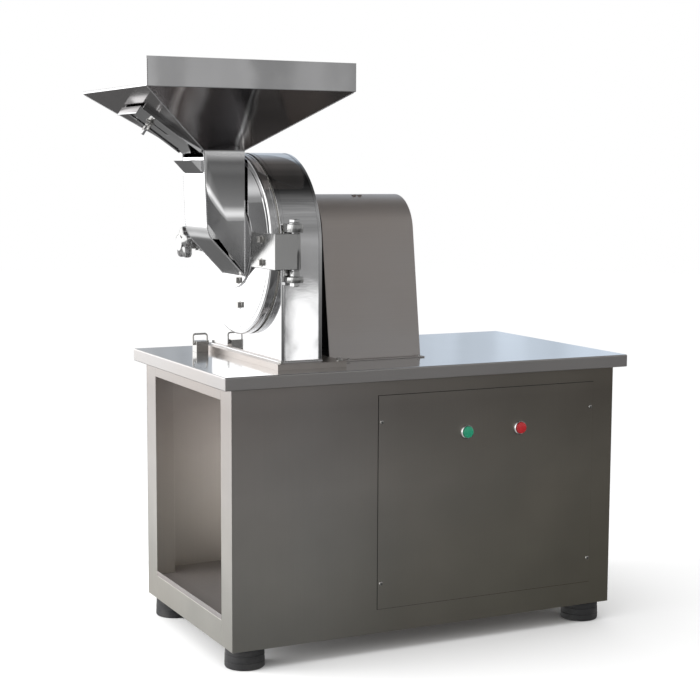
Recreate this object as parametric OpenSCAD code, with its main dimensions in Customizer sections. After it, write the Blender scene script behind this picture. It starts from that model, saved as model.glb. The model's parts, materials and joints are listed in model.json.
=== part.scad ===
// Hammer mill on a cabinet stand, with a side-hinged door that carries the feed chute and hopper.
// Millimetres. +Z up, -Y is the operator's front, and the mill door faces -X.
// The origin is on the floor, under the centre of the bounding box.

/* [Stand] */
// Length of the table top
table_l = 1100; // [1060:5:1160]
// Width of the table top, front to back
table_w = 634; // [624:2:670]
// Height of the table top above the floor
table_h = 695; // [680:5:740]
// Depth of the table top's folded skirt
skirt_h = 31; // [25:1:38]
// How far the table top overhangs the cabinet
overhang = 26; // [20:1:32]
// Height of the rubber feet
foot_h = 50; // [40:1:60]
// Diameter of the rubber feet
foot_d = 95; // [70:1:100]

/* [Mill] */
// Distance from the table's door end to the housing's front face
mill_inset = 180; // [175:1:190]
// Outer radius of the grinding housing
drum_r = 221; // [218:1:226]
// Height of the spindle axis above the table top
axis_h = 282; // [276:1:292]
// Depth of the housing along the spindle
drum_depth = 105; // [105:1:108]
// Thickness of the door
door_t = 22; // [18:1:24]
// Radius of the circle that the hammer pins stand on
pin_circle_r = 110; // [106:1:112]
// Length of a hammer from its pin to its tip
hammer_reach = 75; // [60:1:76]

/* [Feed] */
// How far the hopper reaches past the door end of the table
hopper_over = 150; // [140:1:160]
// Length of the hopper's mouth
hopper_l = 513; // [500:1:525]
// Width of the hopper's mouth
hopper_w = 478; // [460:2:500]
// Height of the funnel from throat to rim
funnel_h = 138; // [130:1:150]
// Height of the upright rim
rim_h = 65; // [50:1:80]
// Width of the feed chute
chute_w = 144; // [140:1:150]
// Depth of the feed chute, door to front plate
chute_d = 103; // [98:1:108]

/* [Drive] */
// Rim radius of the pulley on the spindle
mill_pulley_r = 65; // [60:1:70]
// Rim radius of the pulley on the motor
motor_pulley_r = 95; // [80:1:98]
// Number of V-belts
belt_count = 3; // [1:1:3]

/* [Controls] */
// Outer diameter of a push button's bezel
bezel_d = 36; // [32:1:40]
// Travel of a push button
button_travel = 4; // [2:0.5:4]

/* [Hidden] */
$fn = 64;
eps = 0.5;
gap = 0.3;
run = 0.05;

// Stand
total_l = table_l + hopper_over;
left_x = -total_l / 2;
table_x0 = left_x + hopper_over;
table_x1 = table_x0 + table_l;
half_w = table_w / 2;
cab_x0 = table_x0 + overhang;
cab_x1 = table_x1 - overhang;
cab_y = half_w - overhang;
sheet = 2;
table_t = 3;
under_z = table_h - table_t;
frame_y = cab_y - sheet;
post_x = 50;
post_y = 65;
rail_t = 40;
rail_h = 61;
open_z0 = foot_h + rail_h + 1;
open_z1 = under_z - rail_h;
foot_in = 52;
stainless = "silver";
dark_steel = "dimgray";

// Access cover on the front
cover_x0 = table_x0 + 401;
cover_l = 612;
cover_z0 = foot_h + 59;
cover_h = 518;
cover_lap = 15;
cover_screw_in = 8;
cover_screw_z = 63;
cover_y = -cab_y - sheet;
button_z = cover_z0 + cover_h - 102;
start_x = cover_x0 + 241;
stop_x = cover_x0 + 393;

// Mill
axis_z = table_h + axis_h;
face_x = table_x0 + mill_inset;
back_x = face_x + drum_depth;
base_t = 14;
base_z = table_h + base_t;
base_x0 = face_x - 22;
base_x1 = face_x + 155;
base_y = 252;
bolt_in = 13;
door_r = drum_r - 1;
door_x = face_x - 3 - door_t;
door_back = face_x - 3;
chamber_r = 204;
chamber_x1 = back_x - 10;
screen_r = 190;
duct_x = face_x + 47.5;
duct_hx = 37.5;
duct_hy = 48;
hub_r = 28;
shaft_r = 20;
disc_r = 130;
disc_t = 6;
disc_pitch = 36;
disc_x0 = face_x + 12;
hammer_t = 6;
hammer_w = 38;
hammer_pin_r = 7;

// Hinge on the near side, clamp on the far side
hinge_x = face_x + 23;
hinge_y = -drum_r - 25;
knuckle_z0 = axis_z - 49;
knuckle_h = 84;
knuckle_r = 14;
hinge_pin_r = 8;
clamp_y = drum_r + 22;
clamp_z = axis_z - 8;
clamp_r = 8;
socket_r = 9.4;
knob_x = door_x - 14;
arm_t = 8;

// Feed
throat_z = axis_z + 224.6;
throat_x0 = table_x0 + 47;
throat_x1 = throat_x0 + chute_d;
chute_hw = chute_w / 2;
rim_z0 = throat_z + funnel_h;
top_z = rim_z0 + rim_h;
mouth_x0 = left_x;
mouth_x1 = mouth_x0 + hopper_l;
mouth_hw = hopper_w / 2;
slope_dx = throat_x0 - mouth_x0;
slope = atan2(funnel_h, slope_dx);
slope_len = sqrt(funnel_h * funnel_h + slope_dx * slope_dx);
boss_x = door_x - 4;
feed_hy = 66;
feed_z0 = axis_z - 62;
feed_z1 = axis_z + 58;
gate_w = 136;
gate_travel = 50;
gate_u1 = slope_len + gate_travel + 2;
gate_u0 = 58;
stud_u = 116;

// Drive
pulley_x0 = face_x + 265;
pulley_w = 70;
motor_z = foot_h + 62 + sheet + 1 + 132 + 112;
motor_x0 = pulley_x0 + 155;
motor_r = 100;
motor_shaft_r = 19;
rail_top_z = motor_z - 112;
groove_pitch = 19;
belt_w = 9;
belt_t = 8.7;
guard_x0 = face_x + 165;
guard_x1 = face_x + 418;
guard_top = 402;
guard_r = 95;
guard_foot = 139;
guard_t = 2.5;

// A 2D shape in the Y-Z plane, extruded from x0 towards +X
module along_x(x0, len) {
    translate([x0, 0, 0]) rotate([90, 0, 90]) linear_extrude(len) children();
}

// A 2D shape in the X-Z plane, extruded from y0 towards +Y
module along_y(y0, len) {
    translate([0, y0 + len, 0]) rotate([90, 0, 0]) linear_extrude(len) children();
}

// A cylinder along X from x0 to x1
module rod_x(x0, x1, r, y = 0, z = axis_z) {
    translate([x0, y, z]) rotate([0, 90, 0]) cylinder(h = x1 - x0, r = r);
}

// A cylinder along Y from y0 to y1
module rod_y(y0, y1, r, x, z) {
    translate([x, y1, z]) rotate([90, 0, 0]) cylinder(h = y1 - y0, r = r);
}

// A box from its low corner to its high corner
module block(a, b) {
    translate(a) cube(b - a);
}

// A box tube, open at both ends of the axis that is named
module tube(a, b, wall, axis) {
    cut_a = [for (i = [0:2]) i == axis ? a[i] - 1 : a[i] + wall];
    cut_b = [for (i = [0:2]) i == axis ? b[i] + 1 : b[i] - wall];
    difference() {
        block(a, b);
        block(cut_a, cut_b);
    }
}

// ---------------------------------------------------------------- stand

module posts() color(stainless) {
    x_left = cab_x0;
    x_right = cab_x1 - sheet - post_x;
    for (x = [x_left, x_right], s = [-1, 1]) {
        y0 = s < 0 ? -frame_y : frame_y - post_y;
        tube([x, y0, foot_h], [x + post_x, y0 + post_y, under_z], 3, 2);
    }
}

module rails() color(stainless) {
    x_in0 = cab_x0 + post_x;
    x_in1 = cab_x1 - sheet - post_x;
    y_in = frame_y - post_y;
    for (z = [foot_h, under_z - rail_h]) {
        h = z == foot_h ? rail_h + 1 : rail_h;
        for (x = [cab_x0, cab_x1 - sheet - rail_t]) {
            tube([x, -y_in, z], [x + rail_t, y_in, z + h], 3, 1);
        }
        for (s = [-1, 1]) {
            y0 = s < 0 ? -frame_y : frame_y - rail_t;
            tube([x_in0, y0, z], [x_in1, y0 + rail_t, z + h], 3, 0);
        }
    }
}

module front_skin() color(stainless) difference() {
    block([cab_x0, -cab_y, foot_h], [cab_x1, -frame_y, under_z]);
    block([cover_x0 + cover_lap, -cab_y - 1, cover_z0 + cover_lap],
          [cover_x0 + cover_l - cover_lap, -frame_y + 1, cover_z0 + cover_h - cover_lap]);
    cover_holes();
}

module back_skin() color(stainless) {
    block([cab_x0, frame_y, foot_h], [cab_x1, cab_y, under_z]);
}

module right_skin() color(stainless) difference() {
    block([cab_x1 - sheet, -frame_y, foot_h], [cab_x1, frame_y, under_z]);
    for (i = [0:7], s = [-1, 1]) {
        translate([cab_x1 - sheet - 1, s * 110 - 60, 330 + i * 26]) cube([sheet + 2, 120, 8]);
    }
    rod_x(cab_x1 - sheet - 1, cab_x1 + 1, 10.1, 200, 170);
}

partition_x = table_x0 + 383;
module partition() color("gainsboro") {
    block([partition_x, -frame_y, open_z0 + 3], [partition_x + sheet, frame_y, open_z1]);
}

module floor_shelf() color(dark_steel) {
    x1 = cab_x1 - sheet - post_x;
    y_in = frame_y - post_y;
    block([cab_x0 + post_x, -frame_y, open_z0], [x1, frame_y, open_z0 + 3]);
    block([cab_x0, -y_in, open_z0], [cab_x0 + post_x, y_in, open_z0 + 3]);
    block([x1, -y_in, open_z0], [cab_x1 - sheet, y_in, open_z0 + 3]);
    block([cab_x0, -y_in, open_z0 + 3], [cab_x0 + sheet, y_in, open_z0 + 12]);
}

module table_top() color(stainless) difference() {
    union() {
        block([table_x0, -half_w, under_z], [table_x1, half_w, table_h]);
        difference() {
            block([table_x0, -half_w, table_h - skirt_h], [table_x1, half_w, under_z]);
            block([table_x0 + sheet, -half_w + sheet, table_h - skirt_h - 1],
                  [table_x1 - sheet, half_w - sheet, under_z]);
        }
    }
    duct_cut(under_z - 1, table_h + 1);
    block([pulley_x0 - 15, -115, under_z - 1], [pulley_x0 + pulley_w + 15, 115, table_h + 1]);
    base_bolt_holes(under_z - 1, table_h + 1);
    guard_screw_places() translate([0, 0, under_z - 1]) cylinder(h = table_t + 2, r = 2.6);
}

module feet() color("black") {
    x_left = cab_x0 + foot_in;
    x_right = cab_x1 - foot_in;
    for (x = [x_left, x_right], s = [-1, 1]) {
        translate([x, s * (cab_y - foot_in), 0]) rotate_extrude() polygon([
            [0, 0], [foot_d / 2 - 4, 0], [foot_d / 2, 4], [foot_d / 2, foot_h - 6],
            [foot_d / 2 - 3, foot_h], [0, foot_h]]);
    }
}

// ---------------------------------------------------------------- front panel and controls

module cover_screw_places() {
    for (x = [cover_x0 + cover_screw_in, cover_x0 + cover_l - cover_screw_in],
         z = [cover_z0 + cover_screw_z, cover_z0 + cover_h - cover_screw_z]) {
        translate([x, 0, z]) children();
    }
}

module cover_holes() {
    cover_screw_places() rod_y(cover_y - 1, -frame_y + 1, 2.5, 0, 0);
}

module access_cover() color(stainless) difference() {
    block([cover_x0, cover_y, cover_z0], [cover_x0 + cover_l, -cab_y, cover_z0 + cover_h]);
    cover_holes();
    for (x = [start_x, stop_x]) rod_y(cover_y - 1, -cab_y + 1, 12, x, button_z);
}

module pan_screw() {
    rotate_extrude() polygon([[0, 0], [5, 0], [5, 1.4], [3.6, 3], [0, 3]]);
    translate([0, 0, -8]) cylinder(h = 8, r = 2.4);
}

module guard_screw_places() {
    for (x = [guard_x0 + 45, guard_x1 - 12], s = [-1, 1]) {
        translate([x, s * (guard_foot + 11), 0]) children();
    }
}

module panel_screws() color("lightgray") {
    cover_screw_places() translate([0, cover_y, 0]) rotate([90, 0, 0]) pan_screw();
    guard_screw_places() translate([0, 0, table_h + 3]) pan_screw();
}

button_r = bezel_d / 2 - 4;
stem_r = 6;
module button_bezels() color("whitesmoke") {
    for (x = [start_x, stop_x]) translate([x, cover_y, button_z]) rotate([90, 0, 0]) {
        rotate_extrude() polygon([
            [stem_r + gap, -18], [11.8, -18], [11.8, 0], [bezel_d / 2, 0], [bezel_d / 2, 5],
            [bezel_d / 2 - 2, 8], [button_r + gap, 8], [button_r + gap, 2], [stem_r + gap, 2]]);
    }
}

module contact_blocks() color("dimgray") {
    for (x = [start_x, stop_x]) {
        block([x - 15, cover_y + 18, button_z - 20], [x + 15, cover_y + 58, button_z + 20]);
    }
}

module push_button(x) {
    translate([x, cover_y, button_z]) rotate([90, 0, 0]) rotate_extrude() polygon([
        [0, -10], [stem_r, -10], [stem_r, 3 + button_travel], [button_r, 3 + button_travel],
        [button_r, 7 + button_travel], [button_r - 2, 8.5 + button_travel],
        [0, 9 + button_travel]]);
}

module start_button() color("green") push_button(start_x);

module stop_button() color("red") push_button(stop_x);

module cable_gland() color([0.1, 0.1, 0.1]) {
    translate([cab_x1, 200, 170]) rotate([0, 90, 0]) rotate_extrude() polygon([
        [8, -16], [14, -16], [14, -sheet - gap], [10, -sheet - gap], [10, 0], [14, 0], [14, 8],
        [12, 10], [12, 18], [8, 18]]);
}

// ---------------------------------------------------------------- drive under the table

module motor_rails() color(dark_steel) {
    for (s = [-1, 1]) {
        tube([motor_x0 + 10, s * 90 - 20, open_z0 + 3],
             [motor_x0 + 330, s * 90 + 20, rail_top_z], 4, 0);
    }
}

module motor_body() color("steelblue") difference() {
    union() {
        rod_x(motor_x0 + 15, motor_x0 + 270, motor_r, 0, motor_z);
        rod_x(motor_x0, motor_x0 + 15, motor_r + 4, 0, motor_z);
        rod_x(motor_x0 + 270, motor_x0 + 285, motor_r + 4, 0, motor_z);
        rod_x(motor_x0 + 285, motor_x0 + 335, motor_r + 2, 0, motor_z);
        block([motor_x0 + 50, -110, rail_top_z], [motor_x0 + 240, 110, rail_top_z + 10]);
        block([motor_x0 + 60, -80, rail_top_z + 10], [motor_x0 + 230, 80, motor_z - 40]);
        block([motor_x0 + 90, -50, motor_z + 80], [motor_x0 + 190, 50, motor_z + 145]);
    }
    rod_x(motor_x0 - 1, motor_x0 + 80, motor_shaft_r + run, 0, motor_z);
}

module v_pulley(r, bore_r) {
    first = pulley_w / 2 - groove_pitch * (belt_count - 1) / 2;
    difference() {
        cylinder(h = pulley_w, r = r);
        translate([0, 0, -1]) cylinder(h = pulley_w + 2, r = bore_r);
        for (i = [0:belt_count - 1]) {
            translate([0, 0, first + i * groove_pitch]) rotate_extrude() polygon([
                [r + 1, -8.3], [r - 14, -3.5], [r - 14, 3.5], [r + 1, 8.3]]);
        }
    }
}

module motor_shaft() color("lightgray") {
    rod_x(pulley_x0 - 6, motor_x0 + 78, motor_shaft_r, 0, motor_z);
}

module motor_pulley() color(dark_steel) {
    translate([pulley_x0, 0, motor_z]) rotate([0, 90, 0]) v_pulley(motor_pulley_r, motor_shaft_r + 0.02);
}

module mill_pulley() color(dark_steel) {
    translate([pulley_x0, 0, axis_z]) rotate([0, 90, 0]) v_pulley(mill_pulley_r, shaft_r + 0.02);
}

module belt_loop(inset) hull() {
    translate([0, axis_z]) circle(r = mill_pulley_r - inset, $fn = 40);
    translate([0, motor_z]) circle(r = motor_pulley_r - inset, $fn = 40);
}

module belts() color([0.12, 0.12, 0.12]) {
    first = pulley_x0 + pulley_w / 2 - groove_pitch * (belt_count - 1) / 2;
    for (i = [0:belt_count - 1]) {
        along_x(first + i * groove_pitch - belt_w / 2, belt_w) difference() {
            belt_loop(1);
            belt_loop(1 + belt_t);
        }
    }
}

// ---------------------------------------------------------------- grinding housing

module duct_cut(z0, z1) {
    block([duct_x - duct_hx, -duct_hy, z0], [duct_x + duct_hx, duct_hy, z1]);
}

module base_bolt_places() {
    for (x = [base_x0 + bolt_in, base_x1 - bolt_in], s = [-1, 1]) {
        translate([x, s * (base_y - bolt_in), 0]) children();
    }
}

module base_bolt_holes(z0, z1) {
    base_bolt_places() translate([0, 0, z0]) cylinder(h = z1 - z0, r = 4.5);
}

module base_plate() color(stainless) difference() {
    block([base_x0, -base_y, table_h], [base_x1, base_y, base_z]);
    duct_cut(table_h - 1, base_z + 1);
    base_bolt_holes(table_h - 1, base_z + 1);
}

module base_bolts() color("lightgray") {
    base_bolt_places() {
        translate([0, 0, base_z]) cylinder(h = 1.6, r = 9);
        translate([0, 0, base_z + 1.6]) cylinder(h = 5.6, r = 7.5, $fn = 6);
        translate([0, 0, under_z - 10]) cylinder(h = base_z - under_z + 10, r = 4);
        translate([0, 0, under_z - 6.5]) cylinder(h = 6.5, r = 7.5, $fn = 6);
    }
}

module housing_outline(inset, z0) {
    r = drum_r - inset;
    translate([0, axis_z]) circle(r = r, $fn = 128);
    translate([-r, z0]) square([2 * r, axis_z - z0]);
}

module housing() color(stainless) difference() {
    along_x(face_x, drum_depth) housing_outline(0, base_z);
    rod_x(face_x - 1, chamber_x1, chamber_r, $fn = 128);
    rod_x(chamber_x1 - 1, back_x + 1, hub_r + 2);
    duct_cut(base_z - 1, axis_z - chamber_r + 20);
    along_x(face_x + 8, drum_depth - 16) difference() {
        housing_outline(8, base_z - 10);
        translate([0, axis_z]) circle(r = chamber_r + 8, $fn = 128);
        translate([-duct_hy - 8, base_z - 11]) square([2 * duct_hy + 16, axis_h]);
        translate([-drum_r, axis_z - 60]) square([2 * drum_r, 2 * drum_r]);
    }
}

screen_rows = 3;
screen_holes = 24;
module screen_ring() color("gainsboro") difference() {
    rod_x(face_x + eps, chamber_x1, screen_r + 2, $fn = 128);
    rod_x(face_x, chamber_x1 + 1, screen_r, $fn = 128);
    for (row = [1:screen_rows], i = [0:screen_holes - 1]) {
        x = face_x + row * (chamber_x1 - face_x) / (screen_rows + 1);
        translate([x, 0, axis_z]) rotate([i * 360 / screen_holes + row * 5, 0, 0])
            translate([0, 0, screen_r - 5]) cylinder(h = 12, r = 5, $fn = 24);
    }
}

module discharge_spout() color(stainless) difference() {
    union() {
        block([duct_x - 68, -80, under_z - 4], [duct_x + 68, 80, under_z]);
        translate([duct_x, 0, under_z - 130]) cylinder(h = 128, r = 65);
        translate([duct_x, 0, under_z - 130]) cylinder(h = 5, r = 68);
    }
    duct_cut(under_z - 5, under_z + 1);
    translate([duct_x, 0, under_z - 131]) cylinder(h = 127, r = 62.5);
}

module bearing_pedestal() color([0.13, 0.13, 0.14]) difference() {
    union() {
        rod_x(back_x, face_x + 240, 58);
        block([face_x + 160, -90, table_h], [face_x + 237, 90, table_h + 20]);
        block([face_x + 165, -34, table_h + 20], [face_x + 232, 34, axis_z]);
    }
    rod_x(back_x - 1, back_x + 26, 36.02);
    rod_x(face_x + 217, face_x + 241, 36.02);
    rod_x(back_x, face_x + 240, 29);
}

module bearing_ring(x0) difference() {
    rod_x(x0, x0 + 18, 36);
    rod_x(x0 - 1, x0 + 19, shaft_r + run);
    translate([x0 + 18, 0, axis_z]) rotate([0, 90, 0]) rotate_extrude() polygon([
        [25, 1], [25, -1.5], [31, -1.5], [31, 1]]);
}

module bearings() color("lightgray") {
    bearing_ring(back_x + 8);
    bearing_ring(face_x + 217);
}

module bearing_covers() color(dark_steel) {
    difference() {
        rod_x(face_x + 240, face_x + 248, 54);
        rod_x(face_x + 239, face_x + 249, shaft_r + 1);
    }
    difference() {
        rod_x(back_x, back_x + 8, 36);
        rod_x(back_x - 1, back_x + 9, shaft_r + 1);
    }
}

// ---------------------------------------------------------------- belt guard

module guard_outline(inset) hull() {
    translate([0, table_h + guard_top - guard_r]) circle(r = guard_r - inset, $fn = 48);
    translate([-guard_foot + inset, table_h]) square([2 * (guard_foot - inset), 1]);
}

module guard() color([0.55, 0.53, 0.52]) difference() {
    union() {
        along_x(guard_x0, guard_x1 - guard_x0) guard_outline(0);
        block([guard_x0, -guard_foot - 20, table_h], [guard_x1, guard_foot + 20, table_h + 3]);
    }
    along_x(guard_x0 - 1, guard_x1 - guard_x0 - guard_t + 1) guard_outline(guard_t);
    block([guard_x0 - 1, -guard_foot + guard_t, table_h - 1],
          [guard_x1 - guard_t, guard_foot - guard_t, table_h + 3.1]);
    translate([guard_x0 + 115, -30, table_h + guard_top - 20]) cube([25, 7, 30]);
    guard_screw_places() translate([0, 0, table_h - 1]) cylinder(h = 5, r = 2.6);
}

// ---------------------------------------------------------------- hinge and clamp

lug_r = 20;
module lug_plate(z0, h) {
    translate([hinge_x, hinge_y, z0]) cylinder(h = h, r = lug_r);
    block([hinge_x - lug_r, hinge_y, z0], [hinge_x + lug_r, -drum_r, z0 + h]);
}

module pivot_bracket() color("lightgray") {
    z_low = knuckle_z0 - 30;
    z_high = knuckle_z0 + knuckle_h + 2;
    difference() {
        union() {
            lug_plate(z_low, 14);
            translate([hinge_x, hinge_y, z_low + 14]) cylinder(h = 14, r = 12);
            lug_plate(z_high, 20);
            block([hinge_x - lug_r, -drum_r - 8, z_low], [hinge_x + lug_r, -drum_r, z_high + 20]);
        }
        translate([hinge_x, hinge_y, z_low - 1]) cylinder(h = 160, r = hinge_pin_r + run);
    }
}

module hinge_pin() color("gray") {
    z_low = knuckle_z0 - 30;
    z_high = knuckle_z0 + knuckle_h + 22;
    translate([hinge_x, hinge_y, z_low - 10]) cylinder(h = z_high - z_low + 10, r = hinge_pin_r);
    translate([hinge_x, hinge_y, z_high]) cylinder(h = 3, r = 15);
    translate([hinge_x, hinge_y, z_high + 3]) cylinder(h = 8, r = 13, $fn = 6);
    translate([hinge_x, hinge_y, z_low - 9]) cylinder(h = 9, r = 12, $fn = 6);
}

module hinge_arm() color("lightgray") difference() {
    union() {
        block([door_x - arm_t, hinge_y - knuckle_r, knuckle_z0],
              [door_x, -120, knuckle_z0 + knuckle_h]);
        block([door_x - arm_t, hinge_y - knuckle_r, knuckle_z0],
              [hinge_x, hinge_y + knuckle_r, knuckle_z0 + knuckle_h]);
        translate([hinge_x, hinge_y, knuckle_z0]) cylinder(h = knuckle_h, r = knuckle_r);
    }
    translate([hinge_x, hinge_y, knuckle_z0 - 1]) cylinder(h = knuckle_h + 2, r = hinge_pin_r + run);
}

module clamp_boss() color("dimgray") difference() {
    union() {
        rod_x(face_x - 10, face_x + 25, 19, clamp_y, clamp_z);
        block([face_x, drum_r, clamp_z - 19], [face_x + 25, clamp_y, clamp_z + 19]);
    }
    rod_x(face_x - 11, face_x + 20, socket_r, clamp_y, clamp_z);
}

module clamp_lug() color("dimgray") difference() {
    union() {
        rod_x(knob_x, door_x + 4, 19, clamp_y, clamp_z);
        block([door_x - 10, 150, clamp_z - 19], [door_x, clamp_y, clamp_z + 19]);
    }
    rod_x(knob_x - 1, door_x + 5, clamp_r + 0.1, clamp_y, clamp_z);
}

module clamp_washer() color("lightgray") difference() {
    rod_x(knob_x - gap - 3, knob_x - gap, 15, clamp_y, clamp_z);
    rod_x(knob_x - 5, knob_x, clamp_r + 0.1, clamp_y, clamp_z);
}

module clamp_stem() color("gray") {
    rod_x(knob_x - 32, face_x + 12, clamp_r, clamp_y, clamp_z);
}

lobes = 5;
module star_knob() color([0.25, 0.25, 0.25]) difference() {
    x = knob_x - gap - 3;
    union() {
        rod_x(x - 12, x, 15, clamp_y, clamp_z);
        rod_x(x - 34, x - 12, 30, clamp_y, clamp_z);
        for (i = [0:lobes - 1]) translate([0, clamp_y, clamp_z]) rotate([i * 360 / lobes, 0, 0])
            rod_x(x - 34, x - 12, 12, 0, 31);
        translate([x - 34, clamp_y, clamp_z]) rotate([0, -90, 0]) cylinder(h = 5, r1 = 26, r2 = 20);
    }
    rod_x(knob_x - 32, knob_x + 1, clamp_r + 0.02, clamp_y, clamp_z);
}

// ---------------------------------------------------------------- door

module door_disc() color("gainsboro") difference() {
    translate([door_x, 0, axis_z]) rotate([0, 90, 0]) rotate_extrude($fn = 128) polygon([
        [0, 0], [door_r - 3, 0], [door_r, 3], [door_r, door_t], [0, door_t]]);
    block([door_x - 1, -feed_hy, feed_z0], [door_back + 1, feed_hy, feed_z1]);
}

module door_gasket() color([0.85, 0.85, 0.82]) difference() {
    rod_x(door_back, face_x - gap, 216);
    rod_x(door_back - 1, face_x, 207);
}

teeth = 12;
module door_liner() color("dimgray") difference() {
    union() {
        rod_x(door_back, door_back + 6, 185, $fn = 128);
        for (i = [0:teeth - 1]) translate([0, 0, axis_z]) rotate([i * 360 / teeth, 0, 0])
            block([door_back + 6, -5, 130], [door_back + 9, 5, 178]);
    }
    block([door_back - 1, -feed_hy, feed_z0], [door_back + 10, feed_hy, feed_z1]);
}

module square_bolt(x, y, z) {
    rod_x(x - 1.5, x, 10, y, z);
    block([x - 8.5, y - 7, z - 7], [x - 1.5, y + 7, z + 7]);
}

module door_bolts() color("gray") {
    square_bolt(boss_x, -30, axis_z - 86);
    square_bolt(door_x, -30, axis_z - 146);
    for (z = [axis_z - 35, axis_z + 19]) square_bolt(door_x - arm_t, -181, z);
    square_bolt(door_x - 10, 175, clamp_z);
}

module feed_boss() color("gainsboro") difference() {
    rod_x(boss_x, door_x, 106);
    block([boss_x - 1, -feed_hy, feed_z0], [door_x + 1, feed_hy, feed_z1]);
}

// ---------------------------------------------------------------- feed chute

bend_r = 60;
bend_z = axis_z + 52;
chute_x0 = throat_x0 + 7;
tip_z = axis_z - 74;

// Side outline of the chute: upright front plate, a bend, then a slope down to the door
function chute_outline(t) = concat(
    [[boss_x, throat_z], [throat_x0 + t, throat_z], [chute_x0 + t, bend_z]],
    [for (a = [5:5:45]) [chute_x0 + bend_r - (bend_r - t) * cos(a), bend_z - (bend_r - t) * sin(a)]],
    [[boss_x, tip_z + 1.4 * t]]);

module feed_chute() color("gainsboro") difference() {
    along_y(-chute_hw, chute_w) polygon(chute_outline(0));
    along_y(-chute_hw + sheet, chute_w - 2 * sheet) difference() {
        polygon(chute_outline(sheet));
        translate([boss_x - sheet, feed_z1]) square([sheet + 1, throat_z]);
    }
    along_y(-chute_hw + sheet, chute_w - 2 * sheet)
        translate([throat_x0 + sheet, throat_z - 1]) square([boss_x - throat_x0 - 2 * sheet, 2]);
    block([throat_x0 - 1, -chute_hw + sheet, throat_z - 16],
          [throat_x0 + 6, chute_hw - sheet, throat_z + 1]);
    block([throat_x0 - 1, -40, throat_z - 50], [throat_x0 + 6, 40, throat_z - 30]);
}

scoop_z0 = throat_z - 54;
scoop_h = 30;
scoop_reach = 27;
scoop_hw = 60;

// Where the front plate's outer face stands at height z
function front_x(z) = throat_x0 + (chute_x0 - throat_x0) * (throat_z - z) / (throat_z - bend_z);

module chute_scoop() color("dimgray") {
    z1 = scoop_z0 + scoop_h;
    tip_x = throat_x0 - scoop_reach;
    along_y(-scoop_hw, 2 * scoop_hw) polygon([
        [front_x(scoop_z0), scoop_z0], [front_x(scoop_z0 + 3), scoop_z0 + 3],
        [tip_x + 2, z1], [tip_x, z1]]);
    for (y = [-scoop_hw, scoop_hw - sheet]) along_y(y, sheet) polygon([
        [front_x(scoop_z0), scoop_z0], [front_x(z1), z1], [tip_x, z1]]);
}

// ---------------------------------------------------------------- hopper

// Four corners of a level rectangle
function level(x0, x1, hw, z) = [[x0, -hw, z], [x1, -hw, z], [x1, hw, z], [x0, hw, z]];

module frustum(low, high) {
    polyhedron(points = concat(low, high), faces = [
        [0, 1, 2, 3], [7, 6, 5, 4], [4, 5, 1, 0], [5, 6, 2, 1], [6, 7, 3, 2], [7, 4, 0, 3]]);
}

wall = 2.5;
over = 1;
module hopper_funnel() color("darkgray") {
    k = over / funnel_h;
    difference() {
        frustum(
            level(throat_x0, throat_x1, chute_hw, throat_z),
            level(mouth_x0, mouth_x1, mouth_hw, rim_z0));
        frustum(
            level(throat_x0 + wall + k * slope_dx, throat_x1 - wall - k * (mouth_x1 - throat_x1),
                  chute_hw - wall - k * (mouth_hw - chute_hw), throat_z - over),
            level(mouth_x0 + wall - k * slope_dx, mouth_x1 - wall + k * (mouth_x1 - throat_x1),
                  mouth_hw - wall + k * (mouth_hw - chute_hw), rim_z0 + over));
    }
}

hem = 8;
module hopper_rim() color("darkgray") {
    block([mouth_x0, -mouth_hw, rim_z0], [mouth_x1, -mouth_hw + sheet, top_z]);
    block([mouth_x1 - sheet, -mouth_hw + sheet, rim_z0], [mouth_x1, mouth_hw - sheet, top_z]);
    along_y(mouth_hw - sheet, sheet) polygon([
        [mouth_x0, rim_z0], [mouth_x1, rim_z0], [mouth_x1, top_z], [mouth_x0 + 290, top_z],
        [mouth_x0 + 200, rim_z0 + 4], [mouth_x0, rim_z0 + 4]]);
    block([mouth_x0, -mouth_hw + sheet, rim_z0], [mouth_x0 + sheet, -mouth_hw + sheet + hem, top_z]);
    block([mouth_x0, -mouth_hw + sheet + hem, rim_z0], [mouth_x0 + sheet, mouth_hw - sheet, rim_z0 + 4]);
}

// Places its children in the gate's frame: x runs down the hopper's door-end slope from the
// mouth, y is across, and z points out from the slope's underside
module on_gate_slope() {
    translate([mouth_x0, 0, rim_z0]) rotate([0, slope, 0]) mirror([0, 0, 1]) children();
}

module gate_guides() color("darkgray") on_gate_slope() {
    for (s = [-1, 1]) {
        y0 = s < 0 ? -chute_hw : chute_hw - 3;
        y1 = s < 0 ? -chute_hw : chute_hw - 12;
        block([gate_u0 + 6, y0, 0], [slope_len - 4, y0 + 3, 9.5]);
        block([gate_u0 + 6, y1, 7.5], [slope_len - 14, y1 + 12, 9.5]);
    }
    translate([stud_u, 0, 0]) cylinder(h = 42, r = 4);
}

module gate_plate() color("lightgray") on_gate_slope() difference() {
    union() {
        block([gate_u0, -gate_w / 2, 4.5], [gate_u1, gate_w / 2, 6.5]);
        block([gate_u0, -gate_w / 2, 6.5], [gate_u0 + 2, gate_w / 2, 26]);
    }
    translate([stud_u, 0, 0]) cylinder(h = 10, r = 5);
    translate([stud_u + gate_travel, 0, 0]) cylinder(h = 10, r = 5);
    block([stud_u, -5, 0], [stud_u + gate_travel, 5, 10]);
}

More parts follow.
